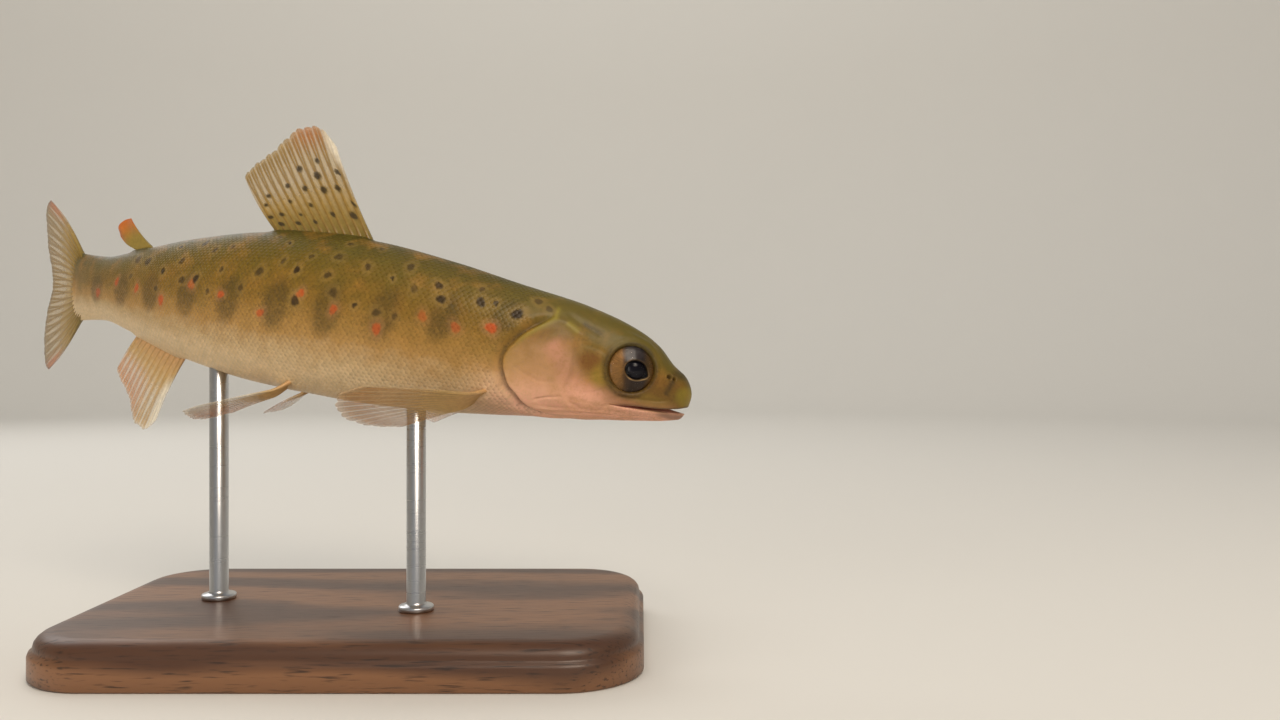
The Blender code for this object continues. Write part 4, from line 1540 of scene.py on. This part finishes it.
@dataclass
class Scales:
    """Overlapping scales on every part behind the head, one mesh to a side."""

    head: HeadForm
    markings: Markings
    rows_round: int = 54
    longest: float = 0.56
    reach: tuple[float, float] = (13.5, 80.6)
    stand: float = 0.026
    along_steps: tuple[float, ...] = (0.0, 0.45, 1.0, 1.04)
    across_steps: tuple[float, ...] = (-1.0, -0.5, 0.0, 0.5, 1.0)

    def build(self) -> list[Object]:
        """Builds both sides' scales.

        Returns:
            One piece for each side.
        """
        finish = TroutSkin(scaled=True).material("wet_trout_scales")
        return [self._side(side, finish) for side in Side]

    def _roots(self, chance: np.random.Generator) -> tuple[Array, Array, Array]:
        """Sets out one side's scales.

        Args:
            chance: what shifts them a little.

        Returns:
            Each scale's place, share of the way round and length.
        """
        body = self.head.body
        fine = np.linspace(*self.reach, 3000)
        girth = body.half_girth(fine)
        length = np.clip(self.longest * (girth / girth.max()) ** 0.6, 0.36, None)
        length *= rise(fine, 84.0, 76.0) ** 0.5
        run = np.concatenate([[0], np.cumsum((1 / length[1:] + 1 / length[:-1]) / 2 * np.diff(fine))])
        places, shares = [], []
        for row in range(self.rows_round):
            steps = np.arange(0.5 * (row % 2) + 0.25, run[-1], 1.0)
            places.append(np.interp(steps, run, fine))
            shares.append(np.full(len(steps), (row + 0.5) / self.rows_round))
        s, share = np.concatenate(places), np.concatenate(shares)
        s = s + chance.normal(0, 0.02, len(s))
        share = np.clip(share + chance.normal(0, 0.0012, len(s)), 0.004, 0.996)
        edge = through(self.head.gill_edge, share) + 0.62
        nape = 14.9 + 3.2 * rise(share, 0.0, 0.26)
        start = np.where(share < 0.22, nape, np.maximum(edge, nape * (share < 0.3)))
        start = np.where(share > 0.9, np.maximum(start, 15.5), start)
        keep = s > start
        keep &= s < self.reach[1] - 0.8 - 1.6 * (1 - np.abs(2 * share - 1))
        s, share = s[keep], share[keep]
        return s, share, np.interp(s, fine, length)

    def _side(self, side: Side, finish: Material) -> Object:
        """Builds one side's scales.

        Args:
            side: which side.
            finish: what they wear.

        Returns:
            The piece.
        """
        chance = np.random.default_rng(SEED + 10 + side.value)
        body = self.head.body
        root_s, root_share, length = self._roots(chance)
        v = np.array(self.along_steps)[:, None]
        u = np.array(self.across_steps)[None, :]
        shown = np.clip(v, 0, 1)
        rear = np.sqrt(np.clip(1 - ((shown - 0.45) / 0.62) ** 2, 0.05, 1))
        half = np.where(shown < 0.5, 0.86 + 0.28 * shown, rear) + 0 * u
        wide = 1.12 / self.rows_round
        share = root_share[:, None, None] + (u * half * wide)[None]
        curve = v - 0.16 * np.abs(u) ** 2 * (shown > 0.9)
        s = root_s[:, None, None] + (curve[None] - 0.15) * length[:, None, None] * 1.45
        share = np.clip(np.broadcast_to(share, s.shape), 0.0, 1.0)
        raised = np.interp(shown, (0, 0.45, 1), (-0.5, 0.55, 1.0))
        height = self.stand * (raised * (1 - 0.45 * u**2) - 0.25 * u**2)
        height = np.where(v > 1.0, -0.4 * self.stand, height)
        tilt = chance.normal(0, 0.10, len(root_s))[:, None, None] * self.stand * u
        below = self.markings.from_lateral_line(s, share)
        tube = 0.035 * bump(below, 0.16) * rise(s, 17.0, 18.0)
        laid = rise(s, 80.6, 76.5)
        lift = (height[None] + tilt * (v < 1.01)) * laid + tube + self.head.flesh(s, share)
        points = body.skin(s, share, lift, side).reshape(-1, 3)
        marks = self.markings.paint(s.ravel(), share.ravel(), side)
        marks["tone"] = np.repeat(np.clip(chance.normal(0.5, 0.20, len(root_s)), 0, 1), v.size * u.size)
        marks["rim"] = np.tile((shown + 0 * u).ravel(), len(root_s))
        one = grid_quads(v.size, u.size)
        if side is Side.LEFT:
            one = one[:, ::-1]
        quads = (one[None] + (np.arange(len(root_s)) * v.size * u.size)[:, None, None]).reshape(-1, 4)
        corner = np.stack([u + 0 * shown, shown * 2 - 1 + 0 * u], -1).reshape(1, -1, 2) * 0.0015
        at = np.stack([0.005 + 0.99 * root_share, 0.005 + 0.99 * (root_s / self.reach[1])], -1)
        unwrap = (at[:, None, :] + corner).reshape(-1, 2)[quads.ravel()]
        name = f"scales_{side.name.lower()}"
        made = make_piece(name, body.bend(points), quads, finish, marks, unwrap)
        LOG.info("%s: %d scales", name, len(root_s))
        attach(made, "root")
        return made


@dataclass
class Eye:
    """One eye: iris dome with its pupil, lens and cornea, set in the orbit."""

    head: HeadForm
    side: Side
    ball: float = 2.64
    deep: float = 1.5
    sunk: float = 0.98
    cornea_gap: float = 0.16
    pupil_wide: float = 1.16
    pupil_high: float = 0.97
    pupil_ahead: float = 0.40
    pupil_up: float = 0.03
    lens_size: float = 0.98
    lens_flat: float = 0.55
    rings: int = 60
    spokes: int = 144

    def build(self) -> list[Object]:
        """Builds the eye and puts it in place of its solid.

        Returns:
            Iris, cornea and lens.
        """
        name = self.side.name.lower()
        radius = np.linspace(0.0, 0.995, self.rings)[:, None] * self.ball
        turn = (np.arange(self.spokes) * 2 * math.pi / self.spokes)[None, :]
        forwards, up = radius * np.cos(turn), radius * np.sin(turn)
        away = self._pupil_field(forwards, up)
        dome = self._dome(radius)
        iris_height = dome - self.cornea_gap * rise(radius, self.ball, self.ball * 0.6)
        iris_height = iris_height - 0.30 * rise(away, 0.03, -0.10) + 0.03 * bump(away - 0.10, 0.09)
        iris = self._piece(
            f"iris_{name}", forwards, up, iris_height + 0 * turn, EyeIris().material(f"iris_{name}"),
            self._iris_marks(forwards, up, radius + 0 * turn, away),
        )
        cornea = self._shell(f"cornea_{name}", radius, turn)
        lens = self._lens(f"lens_{name}")
        made = [iris, cornea, lens]
        for piece in made:
            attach(piece, "root")
        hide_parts(f"eye_{name}")
        cornea.visible_shadow = False
        cornea.visible_diffuse = False
        return made

    def _dome(self, radius: Array) -> Array:
        """Gives the height of the eyeball's front over the skin's plain form."""
        return self.deep * np.sqrt(np.clip(1 - (radius / self.ball) ** 2, 0, 1)) - self.sunk

    def _pupil_field(self, forwards: Array, up: Array) -> Array:
        """Measures from the pupil's edge, which is round with a point at its lower front.

        Args:
            forwards: how far forwards of the eye's middle places lie.
            up: how far above it.

        Returns:
            How far outside the pupil each place lies.
        """
        x, y = forwards - self.pupil_ahead, up - self.pupil_up
        turn = np.arctan2(y, x)
        point = 0.26 * bump(np.angle(np.exp(1j * (turn + 0.25))), 0.34)
        oval = 1 / np.hypot(np.cos(turn) / self.pupil_wide, np.sin(turn) / self.pupil_high)
        return np.hypot(x, y) - (oval + point)

    def _iris_marks(self, forwards: Array, up: Array, radius: Array, away: Array) -> dict[str, Array]:
        """Paints the iris.

        Args:
            forwards: how far forwards of the eye's middle places lie.
            up: how far above it.
            radius: how far from it.
            away: how far outside the pupil.

        Returns:
            Masks by name, with a place for the flecks that is drawn out along the radius.
        """
        turn = np.arctan2(up, forwards)
        bar = rise(np.abs(forwards - 0.30 + 0.25 * up), 1.55, 0.80) * rise(away, -0.05, 0.2)
        bar *= 0.95 - 0.30 * rise(up, -0.4, -1.6)
        lower_front = rise(np.cos(turn + 1.0), 0.10, 0.85)
        # Two painted highlights on the gold ring round the pupil, at its lower front.
        painted_glints = bump(turn + 1.57, 0.22) + bump(turn + 0.50, 0.20)
        ring = bump(away - 0.09, 0.06) * (0.05 + 0.30 * lower_front + 0.60 * painted_glints)
        # Painted shade: the iris darkens towards its rim, where the eye meets the orbit.
        rim = rise(radius, self.ball * 0.86, self.ball * 0.95)
        rear = rise(forwards, 0.4, -1.3)
        rear = np.maximum(rear, 0.35 * rise(forwards, 1.3, 2.2))
        spun = np.stack([np.cos(turn) * 13, np.sin(turn) * 13, radius * 2.2], -1)
        return {
            "rear": rear, "ring": np.clip(ring, 0, 1), "bar": np.clip(bar, 0, 1), "rim": rim * 0.9,
            "pupil": rise(away, 0.05, -0.03), "spun": spun,
        }

    def _piece(
        self, name: str, forwards: Array, up: Array, height: Array, finish: Material,
        marks: dict[str, Array] | None = None,
    ) -> Object:
        """Makes a round piece from rings about the eye's axis, the first at its middle.

        Args:
            name: the piece's name.
            forwards: how far forwards each point lies.
            up: how far up.
            height: how far off the skin's plain form.
            finish: what it wears.
            marks: its masks by name.

        Returns:
            The piece.
        """
        centre, out, ahead, upward = self.head.eye_frame
        points = centre + forwards[..., None] * ahead + up[..., None] * upward + height[..., None] * out
        points[..., 1] *= self.side.value
        points = points.reshape(-1, 3)
        quads = grid_quads(*forwards.shape, wrap=True)
        flat = {mark: values.reshape(len(points), -1).squeeze() for mark, values in (marks or {}).items()}
        return make_piece(name, self.head.body.bend(points), quads, finish, flat, weld=True)

    def _shell(self, name: str, radius: Array, turn: Array) -> Object:
        """Makes the cornea: a thin clear shell over the iris, closed at its rim.

        Args:
            name: the piece's name.
            radius: its rings' radii.
            turn: its spokes' angles.

        Returns:
            The piece.
        """
        both = np.concatenate([radius, radius[::-1]])
        height = np.concatenate([self._dome(radius), self._dome(radius[::-1]) - 0.05]) + 0 * turn
        return self._piece(
            name, both * np.cos(turn), both * np.sin(turn), height, ClearTissue().material(name),
        )

    def _lens(self, name: str) -> Object:
        """Makes the round lens that stands in the pupil.

        Args:
            name: the piece's name.

        Returns:
            The piece.
        """
        tip = np.linspace(0.0, math.pi, 28)[:, None]
        turn = (np.arange(56) * 2 * math.pi / 56)[None, :]
        across, tall = self.lens_size * np.sin(tip), self.lens_size * self.lens_flat
        height = self._dome(np.array(self.pupil_ahead)) - 0.20 - tall * (1 - np.cos(tip)) + 0 * turn
        forwards, up = self.pupil_ahead + across * np.cos(turn), self.pupil_up + across * np.sin(turn)
        return self._piece(name, forwards, up, height, EyeLens().material(name))


class FinKind(Enum):
    """The fins by how their rays branch and what colour their edges are."""

    DORSAL = "dorsal_fin"
    ANAL = "anal_fin"
    TAIL = "tail_fin"
    PECTORAL = "pectoral_fin"
    PELVIC = "pelvic_fin"
    ADIPOSE = "adipose_fin"


@dataclass
class Fin:
    """One fin: branching, jointed rays with membrane between them, rooted in the flesh."""

    body: BodyForm
    node: str
    kind: FinKind
    middle: Surface
    rays: int
    finish: Material
    rows: int = 64
    per_ray: int = 12
    root_thick: float = 0.50
    edge_thick: float = 0.09
    bury: float = 0.10
    wave: float = 0.12

    def build(self) -> Object:
        """Builds the fin and puts it in place of its solid.

        Returns:
            The fin.
        """
        columns = self.rays * self.per_ray + 1
        across, along = np.meshgrid(np.linspace(0, 1, columns), np.linspace(-self.bury, 1, self.rows))
        ray = self._rays(across, along)
        ragged = 0.012 * np.sin(across * 37) + 0.010 * np.sin(across * 83 + 1)
        ragged *= self.kind is not FinKind.ADIPOSE
        scallop = 1 - (0.009 * (1 - ray) + ragged * 0.6) * rise(along, 0.55, 1.0)
        reach = np.where(along > 0, along * scallop, along)
        points = self.middle(across, reach)
        step = 2e-3
        side = self.middle(across + step, reach) - self.middle(across - step, reach)
        out = self.middle(across, reach + step) - self.middle(across, reach - step)
        normal = np.cross(side, out)
        normal /= np.maximum(np.linalg.norm(normal, axis=-1, keepdims=True), 1e-9)
        out_share = np.clip(along, 0, 1)
        thick = self.root_thick + (self.edge_thick - self.root_thick) * out_share**0.55
        thick = thick + 4.0 * np.maximum(-along, 0) * (self.kind in (FinKind.PECTORAL, FinKind.PELVIC))
        thick = thick * (0.62 + 0.38 * ray) * rise(across, -0.02, 0.02) ** 0.2
        joints = 0.012 * np.cos(out_share * 150) * ray * rise(out_share, 0.25, 0.4)
        half = (thick / 2 + joints)[..., None]
        ripple = self.wave * out_share**2 * np.sin(across * 9.0 + out_share * 2.5)
        points = points + normal * ripple[..., None]
        both = np.stack([points + normal * half, points - normal * half]).reshape(-1, 3)
        marks = self._marks(across, out_share, ray, points)
        flat = {mark: values.reshape(across.size, -1) for mark, values in marks.items()}
        doubled = {mark: np.concatenate([values, values]).squeeze() for mark, values in flat.items()}
        quads = sheet_quads(self.rows, columns)
        made = make_piece(f"{self.node}_rayed", self.body.bend(both), quads, self.finish, doubled)
        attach(made, "root")
        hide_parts(self.node)
        return made

    def _rays(self, across: Array, along: Array) -> Array:
        """Gives where rays run.

        Args:
            across: shares of the way across the fin.
            along: shares of the way out.

        Returns:
            1 on a ray, 0 on the membrane between two.
        """
        if self.kind is FinKind.ADIPOSE:
            return 1.0 + 0 * across
        local = across * self.rays % 1.0 - 0.5
        first = 0.21 * rise(along, 0.40, 0.90)
        second = 0.09 * rise(along, 0.72, 1.0)
        away = np.abs(np.abs(np.abs(local) - first) - second)
        width = 0.17 - 0.075 * rise(along, 0.1, 1.0)
        return bump(away, width)

    @staticmethod
    def _dorsal_spots() -> Points:
        """Scatters the dorsal fin's spots.

        Returns:
            (share of the base, share of the height, size) of each.
        """
        chance = np.random.default_rng(SEED + 30)
        spots: list[tuple[float, ...]] = []
        for _ in range(600):
            place, tall = chance.uniform(0.03, 0.95), chance.uniform(0.08, 0.72)
            size = chance.uniform(0.22, 0.42)
            clear = all(math.hypot(place - a, tall - b) > 0.135 for a, b, _ in spots)
            if clear and len(spots) < 24 and tall < 0.85 - 0.35 * place:
                spots.append((place, tall, size))
        return spots

    def _marks(self, across: Array, along: Array, ray: Array, points: Array) -> dict[str, Array]:
        """Paints the fin.

        Args:
            across: shares of the way across the fin.
            along: shares of the way out.
            ray: where rays run.
            points: the places, in millimetres.

        Returns:
            Masks by name.
        """
        spot, edge, flush = (np.zeros(along.shape) for _ in range(3))
        if self.kind is FinKind.DORSAL:
            for place, tall, size in self._dorsal_spots():
                away = np.hypot((across - place) * 11.0, (along - tall) * 10.5) / size
                spot = np.maximum(spot, 0.9 * rise(away, 1.25, 0.70))
            edge = 0.8 * rise(across, 0.10, 0.03) * rise(along, 0.6, 0.9)
            flush = 0.40 * bump(across - 0.20, 0.16) * rise(along, 0.70, 1.0)
        if self.kind in (FinKind.ANAL, FinKind.PELVIC):
            edge = 0.85 * rise(across, 0.13, 0.04) * rise(along, 0.2, 0.5)
            flush = 0.35 * rise(along, 0.2, 0.8) * rise(across, 0.2, 0.5)
        if self.kind is FinKind.PECTORAL:
            flush = 0.20 * rise(along, 0.3, 0.9)
        if self.kind is FinKind.ADIPOSE:
            flush = 0.66 * rise(along, 0.35, 1.0)
        if self.kind is FinKind.TAIL:
            spot = 0.45 * rise(along, 0.90, 1.0)
            flush = 0.55 * rise(np.abs(across - 0.5), 0.40, 0.49) * rise(along, 0.4, 0.8)
        ray = 0.9 * ray * (1 - 0.6 * rise(along, 0.93, 1.0))
        return {
            "ray": ray, "along": along, "spot": spot, "edge": edge, "flush": flush, "place": points * 0.01,
        }


@dataclass(frozen=True)
class MidlineShape:
    """A fin on the body's midline.

    The base is its first and last place, and the fan its first and last ray's angle up from the body's line,
    in degrees. The rays' lengths go by share of the base, and the sweep is how far they bow back.
    """

    kind: FinKind
    base: tuple[float, float]
    fan: tuple[float, float]
    lengths: Points
    sweep: float
    rays: int
    above: bool = True


@dataclass(frozen=True)
class PairedShape:
    """A fin that each side has.

    The root is a place and a height. Spread is the angle between its first and last ray, lean how far it
    stands off the body and droop how far it hangs, in degrees. The rays' lengths go by share of the base,
    and bury is the share of the fin that the flesh hides.
    """

    kind: FinKind
    root: tuple[float, float]
    lengths: Points
    spread: float
    lean: float
    droop: float
    width: float
    rays: int
    bury: float


@dataclass
class Fins:
    """The eight fins and the shapes of their middle surfaces, which follow the solids."""

    body: BodyForm
    upper: FinMembrane = FinMembrane()
    lower: FinMembrane = FinMembrane("CDAE74", "A9844A", "C79A68", "DCC494", thinnest=0.22)
    fleshy: FinMembrane = FinMembrane("8A7430", "8A7430", "665A26", "B0702E", thinnest=0.9)
    gap: float = 0.3
    midline: tuple[MidlineShape, ...] = (
        MidlineShape(
            FinKind.DORSAL, (36.0, 47.2), (60, 50),
            ((0.0, 10.4), (0.07, 12.4), (0.18, 12.6), (0.6, 9.6), (0.92, 7.6), (1.0, 6.8)), 0.9, 13,
        ),
        MidlineShape(
            FinKind.ANAL, (57.8, 65.8), (62, 50),
            ((0.0, 8.2), (0.1, 9.8), (0.22, 9.8), (0.6, 7.4), (0.92, 5.6), (1.0, 5.0)), 0.7, 10, above=False,
        ),
        MidlineShape(
            FinKind.ADIPOSE, (64.4, 67.0), (40, 24), ((0.0, 4.6), (0.3, 5.0), (0.7, 4.5), (1.0, 3.2)), 0.8, 4
        ),
    )
    tail_base: float = 77.5
    tail_root: float = 77.8
    tail_spread: float = 33.0
    tail_rays: int = 19
    tail_thick: float = 0.8
    tail_bury: float = 0.14
    lobe: Points = (
        (0.0, 12.6), (0.09, 14.0), (0.2, 13.2), (0.5, 8.8), (0.8, 13.2), (0.91, 14.0), (1.0, 12.6)
    )
    paired: tuple[PairedShape, ...] = (
        PairedShape(
            FinKind.PECTORAL, root=(20.6, -5.0),
            lengths=((0.0, 13.4), (0.15, 14.6), (0.35, 14.0), (0.7, 10.6), (1.0, 7.4)),
            spread=40, lean=32, droop=18, width=1.9, rays=13, bury=0.07,
        ),
        PairedShape(
            FinKind.PELVIC, root=(41.6, -7.7),
            lengths=((0.0, 9.2), (0.15, 10.4), (0.4, 10.2), (0.75, 8.4), (1.0, 6.6)),
            spread=36, lean=24, droop=26, width=1.5, rays=9, bury=0.08,
        ),
    )

    def build(self) -> list[Object]:
        """Builds every fin.

        Returns:
            The fins.
        """
        body, tail = self.body, FinKind.TAIL
        membrane = self.upper.material("fin_membrane")
        pale = self.lower.material("lower_fin_membrane")
        fleshy = self.fleshy.material("adipose_flesh")
        wear = {FinKind.DORSAL: membrane, FinKind.ANAL: pale, FinKind.ADIPOSE: fleshy}
        fins = []
        for shape in self.midline:
            middle = partial(self._midline_middle, shape)
            fins.append(Fin(body, shape.kind.value, shape.kind, middle, shape.rays, wear[shape.kind]))
        fins.append(
            Fin(
                body, tail.value, tail, self._tail_middle, self.tail_rays, membrane,
                root_thick=self.tail_thick, bury=self.tail_bury,
            )
        )
        for side in Side:
            for shape in self.paired:
                node = f"{shape.kind.value}_{side.name.lower()}"
                middle = partial(self._paired_middle, shape, side)
                fins.append(Fin(body, node, shape.kind, middle, shape.rays, pale, bury=shape.bury))
        return [fin.build() for fin in fins]

    def _midline_middle(self, shape: MidlineShape, across: Array, along: Array) -> Array:
        """Gives the middle surface of a fin on the body's midline.

        Args:
            shape: the fin's shape.
            across: shares of the way across the fin.
            along: shares of the way out.

        Returns:
            The points.
        """
        (start, end), (first, last) = shape.base, shape.fan
        s = start + (end - start) * across
        lean = np.radians(first + (last - first) * across)
        reach = through(shape.lengths, across) * along
        back, belly, _, _ = self.body.section(s)
        root = back + self.gap if shape.above else self.gap - belly
        bow = shape.sweep * (along * along - along) * (along > 0)
        place = s + reach * np.cos(lean) - bow * np.sin(lean)
        height = root + reach * np.sin(lean) + bow * np.cos(lean)
        return np.stack([place, 0.0 * place, height if shape.above else -height], axis=-1)

    def _tail_middle(self, across: Array, along: Array) -> Array:
        """Gives the middle surface of the forked tail fin.

        Args:
            across: shares of the way across the fin.
            along: shares of the way out.

        Returns:
            The points.
        """
        share = 1 - 2 * across
        back, belly, _, _ = self.body.section(self.tail_base)
        root = (back - belly) / 2 * share * 0.96
        lean = np.radians(self.tail_spread) * share
        reach = through(self.lobe, across) * along
        bow = 0.8 * share * np.sin(math.pi * np.clip(along, 0, 1))
        place = self.tail_root + reach * np.cos(lean) - bow * np.sin(lean)
        return np.stack([place, 0.0 * place, root + reach * np.sin(lean) + bow * np.cos(lean)], axis=-1)

    def _paired_middle(self, shape: PairedShape, side: Side, across: Array, along: Array) -> Array:
        """Gives the middle surface of a fin on the side or belly.

        Args:
            shape: the fin's shape.
            side: which side of the fish.
            across: shares of the way across the fin.
            along: shares of the way out.

        Returns:
            The points.
        """
        body, place = self.body, np.array(shape.root[0])
        angle = body.angle_of_share(place, body.share_of_height(*shape.root))
        normal = body.outward(place, angle)
        root = body.surface(place, angle) + normal * self.gap
        out, down = math.radians(shape.lean), math.radians(shape.droop)
        axis = np.array([math.cos(out) * math.cos(down), math.sin(out) * math.cos(down), -math.sin(down)])
        line = np.array((0.5, 0.0, -0.87))
        line = line - normal * (line @ normal)
        line /= np.linalg.norm(line)
        fan_side = np.cross(np.cross(axis, line), axis)
        fan_side /= np.linalg.norm(fan_side)
        share = across - 0.5
        turn = np.radians(shape.spread) * share
        reach = through(shape.lengths, across) * np.maximum(along, 0)
        sunk = 1.15 * (1 - np.clip(along / 0.2, 0, 1)) ** 2 + 10 * np.maximum(-along, 0)
        base = root + line * (shape.width * share)[..., None] - normal * sunk[..., None]
        ray = axis * np.cos(turn)[..., None] + fan_side * np.sin(turn)[..., None]
        lift = normal * (0.55 * (1 - np.clip(along, 0, 1)) ** 2)[..., None]
        points = base + ray * reach[..., None] + lift
        points[..., 1] *= side.value
        return points


# --- the stand and the studio ---


@dataclass
class Stand:
    """The walnut base with its moulded edge, and the two turned rods."""

    body: BodyForm
    size: tuple[float, float, float] = (60.0, 38.0, 4.5)
    corner: float = 8.0
    edge: Points = (
        (0.25, 0.0), (0.0, 0.25), (0.0, 2.3), (0.12, 2.62), (0.42, 2.8), (0.50, 3.02), (0.50, 3.2),
        (0.60, 3.55), (0.85, 3.9), (1.25, 4.2), (1.75, 4.4), (2.35, 4.49), (2.6, 4.5),
    )
    corner_steps: int = 20
    collar: Points = ((1.75, 0.02), (1.82, 0.10), (1.82, 0.45), (1.74, 0.55), (1.25, 0.62), (1.08, 0.72))
    rod_across: float = 2.0
    rod_places: tuple[float, float] = (28.0, 52.5)
    rod_in_base: float = 3.0
    rod_in_body: float = 2.6
    rod_steps: int = 72

    def build(self) -> list[Object]:
        """Builds the base and the rods.

        Returns:
            The base and both rods.
        """
        base = self._base(OiledWalnut().material("oiled_walnut"))
        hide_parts("stand_base")
        steel = TurnedSteel().material("turned_steel")
        made = [base]
        for name, place in zip(("front", "rear"), self.rod_places):
            belly = float(self.body.section(place)[1])
            foot = self.body.bend(np.array([place, 0.0, belly])) / MM
            made.append(self._rod(name, foot, steel))
        for piece in made:
            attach(piece, "root")
        return made

    def _ring(self, inset: float, height: float) -> Array:
        """Draws one level line of the base.

        Args:
            inset: how far it lies inside the plan.
            height: its height.

        Returns:
            The line's points.
        """
        length, width, _ = self.size
        ring = []
        for quarter, (x, y) in enumerate(((1, 1), (-1, 1), (-1, -1), (1, -1))):
            middle = ((length / 2 - self.corner) * x, (width / 2 - self.corner) * y, height)
            turn = (quarter + np.arange(self.corner_steps + 1) / self.corner_steps) * math.pi / 2
            ring.append(circle(turn) * (self.corner - inset) + middle)
        return np.concatenate(ring)

    def _base(self, finish: Material) -> Object:
        """Builds the base from level lines up its edge, closed by shrinking rings above and below.

        Args:
            finish: what it wears.

        Returns:
            The base.
        """
        bottom, top = self.edge[0], self.edge[-1]
        inner = [self._ring(self.edge[0][0] + draw, bottom[1]) for draw in (7.0, 3.0)]
        outer = [self._ring(inset, height) for inset, height in self.edge]
        upper = [self._ring(top[0] + draw, top[1]) for draw in (1.5, 4.0)]
        rings = [self._flat_middle(inner[0])] + inner + outer + upper + [self._flat_middle(upper[-1])]
        points = np.concatenate(rings) * MM
        quads = grid_quads(len(rings), len(rings[0]), wrap=True)
        return make_piece("base_moulded", points, quads, finish, weld=True)

    @staticmethod
    def _flat_middle(ring: Array) -> Array:
        """The line along the middle of the base that a ring closes onto."""
        return ring * (1.0, 0.0, 1.0)

    def _rod(self, name: str, foot: Array, steel: Material) -> Object:
        """Turns one rod with a small collar where it enters the base.

        Args:
            name: front or rear.
            foot: the place on the belly that it holds, in millimetres.
            steel: what it wears.

        Returns:
            The rod.
        """
        top, face, radius = foot[2] + self.rod_in_body, self.size[2], self.rod_across / 2
        sunk = ((0.001, face - self.rod_in_base), (radius, face - self.rod_in_base), (radius, face + 0.02))
        collar = ((wide, face + above) for wide, above in self.collar)
        shaft = ((radius, face + 0.95), (radius, top - 0.15), (radius - 0.15, top), (0.001, top))
        profile = (*sunk, *collar, *shaft)
        turn = np.arange(self.rod_steps) * 2 * math.pi / self.rod_steps
        rings = [circle(turn) * wide + (foot[0], foot[1], height) for wide, height in profile]
        quads = grid_quads(len(profile), self.rod_steps, wrap=True)
        made = make_piece(f"rod_{name}_turned", np.concatenate(rings) * MM, quads, steel, weld=True)
        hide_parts(f"stand_rod_{name}")
        return made


@dataclass
class Studio:
    """The pale sweep, the soft lights and the camera."""

    body: BodyForm
    sweep_start: float = 520.0
    open_half: float = 42.0
    sweep_radius: float = 260.0
    sweep_height: float = 900.0
    camera_away: float = 110.0
    frame_wide: float = 132.85
    snout_right: float = 5.397
    camera_up: float = 3.633

    def build(self) -> None:
        """Builds the sweep, lights and camera."""
        self._sweep()
        self._lights()
        self._camera()

    def _sweep(self) -> None:
        """Lays a round floor that turns up into a wall, with the wall left out in front."""
        rise_steps = np.linspace(0, math.pi / 2, 24)
        radius, start = self.sweep_radius, self.sweep_start
        profile = [(0.0, 0.0), (60.0, 0.0), (200.0, 0.0)]
        floor_rings = len(profile)
        profile += [(start + radius * math.sin(t), radius * (1 - math.cos(t))) for t in rise_steps]
        profile.append((start + radius, self.sweep_height))
        away, height = np.array(profile).T[:, :, None]
        turn = (np.arange(120) * 2 * math.pi / 120)[None, :]
        points = np.stack([away * np.cos(turn), away * np.sin(turn), height + 0 * turn], -1).reshape(-1, 3)
        quads = grid_quads(len(profile), turn.size, wrap=True).reshape(len(profile) - 1, turn.size, 4)
        front = np.abs(np.angle(np.exp(1j * (turn[0] + math.pi / 2)))) < math.radians(self.open_half)
        wall = np.arange(len(profile) - 1)[:, None] >= floor_rings + 4
        quads = quads[~(wall & front[None, :])]
        make_piece("sweep", points * MM, quads, StudioPaper().material("studio_paper"), weld=True)

    def _lights(self) -> None:
        """Hangs a large key above the camera's right, a fill, a rim, a top light and one for the backdrop."""
        fish, wall = (0, 0, 25), (0, 780, 200)
        for name, place, aimed, size, watts, colour, mirrored in (
            ("key", (130, -340, 320), fish, 240, 1.25, "FFF0DC", True),
            ("fill", (-300, -320, 80), fish, 320, 0.80, "FFF8EE", False),
            ("rim", (-260, 260, 260), fish, 260, 0.30, "FFFFFF", True),
            ("top", (-20, -60, 420), fish, 360, 0.36, "FFFDF8", False),
            ("backdrop", (0, 260, 640), wall, 420, 1.60, "FFFDF8", False),
        ):
            lamp = bpy.data.lights.new(name, "AREA")
            lamp.shape = "DISK"
            lamp.size = size * MM
            lamp.energy = watts
            lamp.color = linear(colour)[:3]
            placed = bpy.data.objects.new(name, lamp)
            placed.location = Vector(place) * MM
            placed.rotation_euler = (Vector(aimed) * MM - placed.location).to_track_quat("-Z", "Y").to_euler()
            placed.visible_glossy = mirrored
            bpy.context.scene.collection.objects.link(placed)
        world = bpy.data.worlds.new("studio")
        world.use_nodes = True
        bpy.context.scene.world = world
        world.node_tree.nodes["Background"].inputs["Color"].default_value = linear("E9EBEE")
        world.node_tree.nodes["Background"].inputs["Strength"].default_value = 0.35

    def _camera(self) -> None:
        """Looks level at the fish's right side, with the snout right of the middle and a little low."""
        snout = np.array(self.body.snout_place)
        data = bpy.data.cameras.new("camera")
        data.sensor_width = 36.0
        data.lens = 36.0 * self.camera_away / self.frame_wide
        data.clip_start = 0.001
        data.clip_end = 10.0
        camera = bpy.data.objects.new("camera", data)
        camera.location = Vector(snout + (-self.snout_right, -self.camera_away, self.camera_up)) * MM
        camera.rotation_euler = (math.pi / 2, 0.0, 0.0)
        bpy.context.scene.collection.objects.link(camera)
        bpy.context.scene.camera = camera


def main() -> None:
    """Builds the trout, its stand and the studio."""
    logging.basicConfig(level=logging.INFO, format="%(name)s: %(message)s")
    body = BodyForm()
    head = HeadForm(body)
    markings = Markings(head)
    skin = Skin(head, markings).build()
    LOG.info("%s: %d faces", skin.name, len(skin.data.polygons))
    made = Scales(head, markings).build()
    for side in Side:
        made += Eye(head, side).build()
    made += Fins(body).build()
    made += Stand(body).build()
    for piece in made:
        LOG.info("%s: %d faces", piece.name, len(piece.data.polygons))
    Studio(body).build()
    bpy.context.scene.view_settings.view_transform = "Standard"


if __name__ == "__main__":
    main()
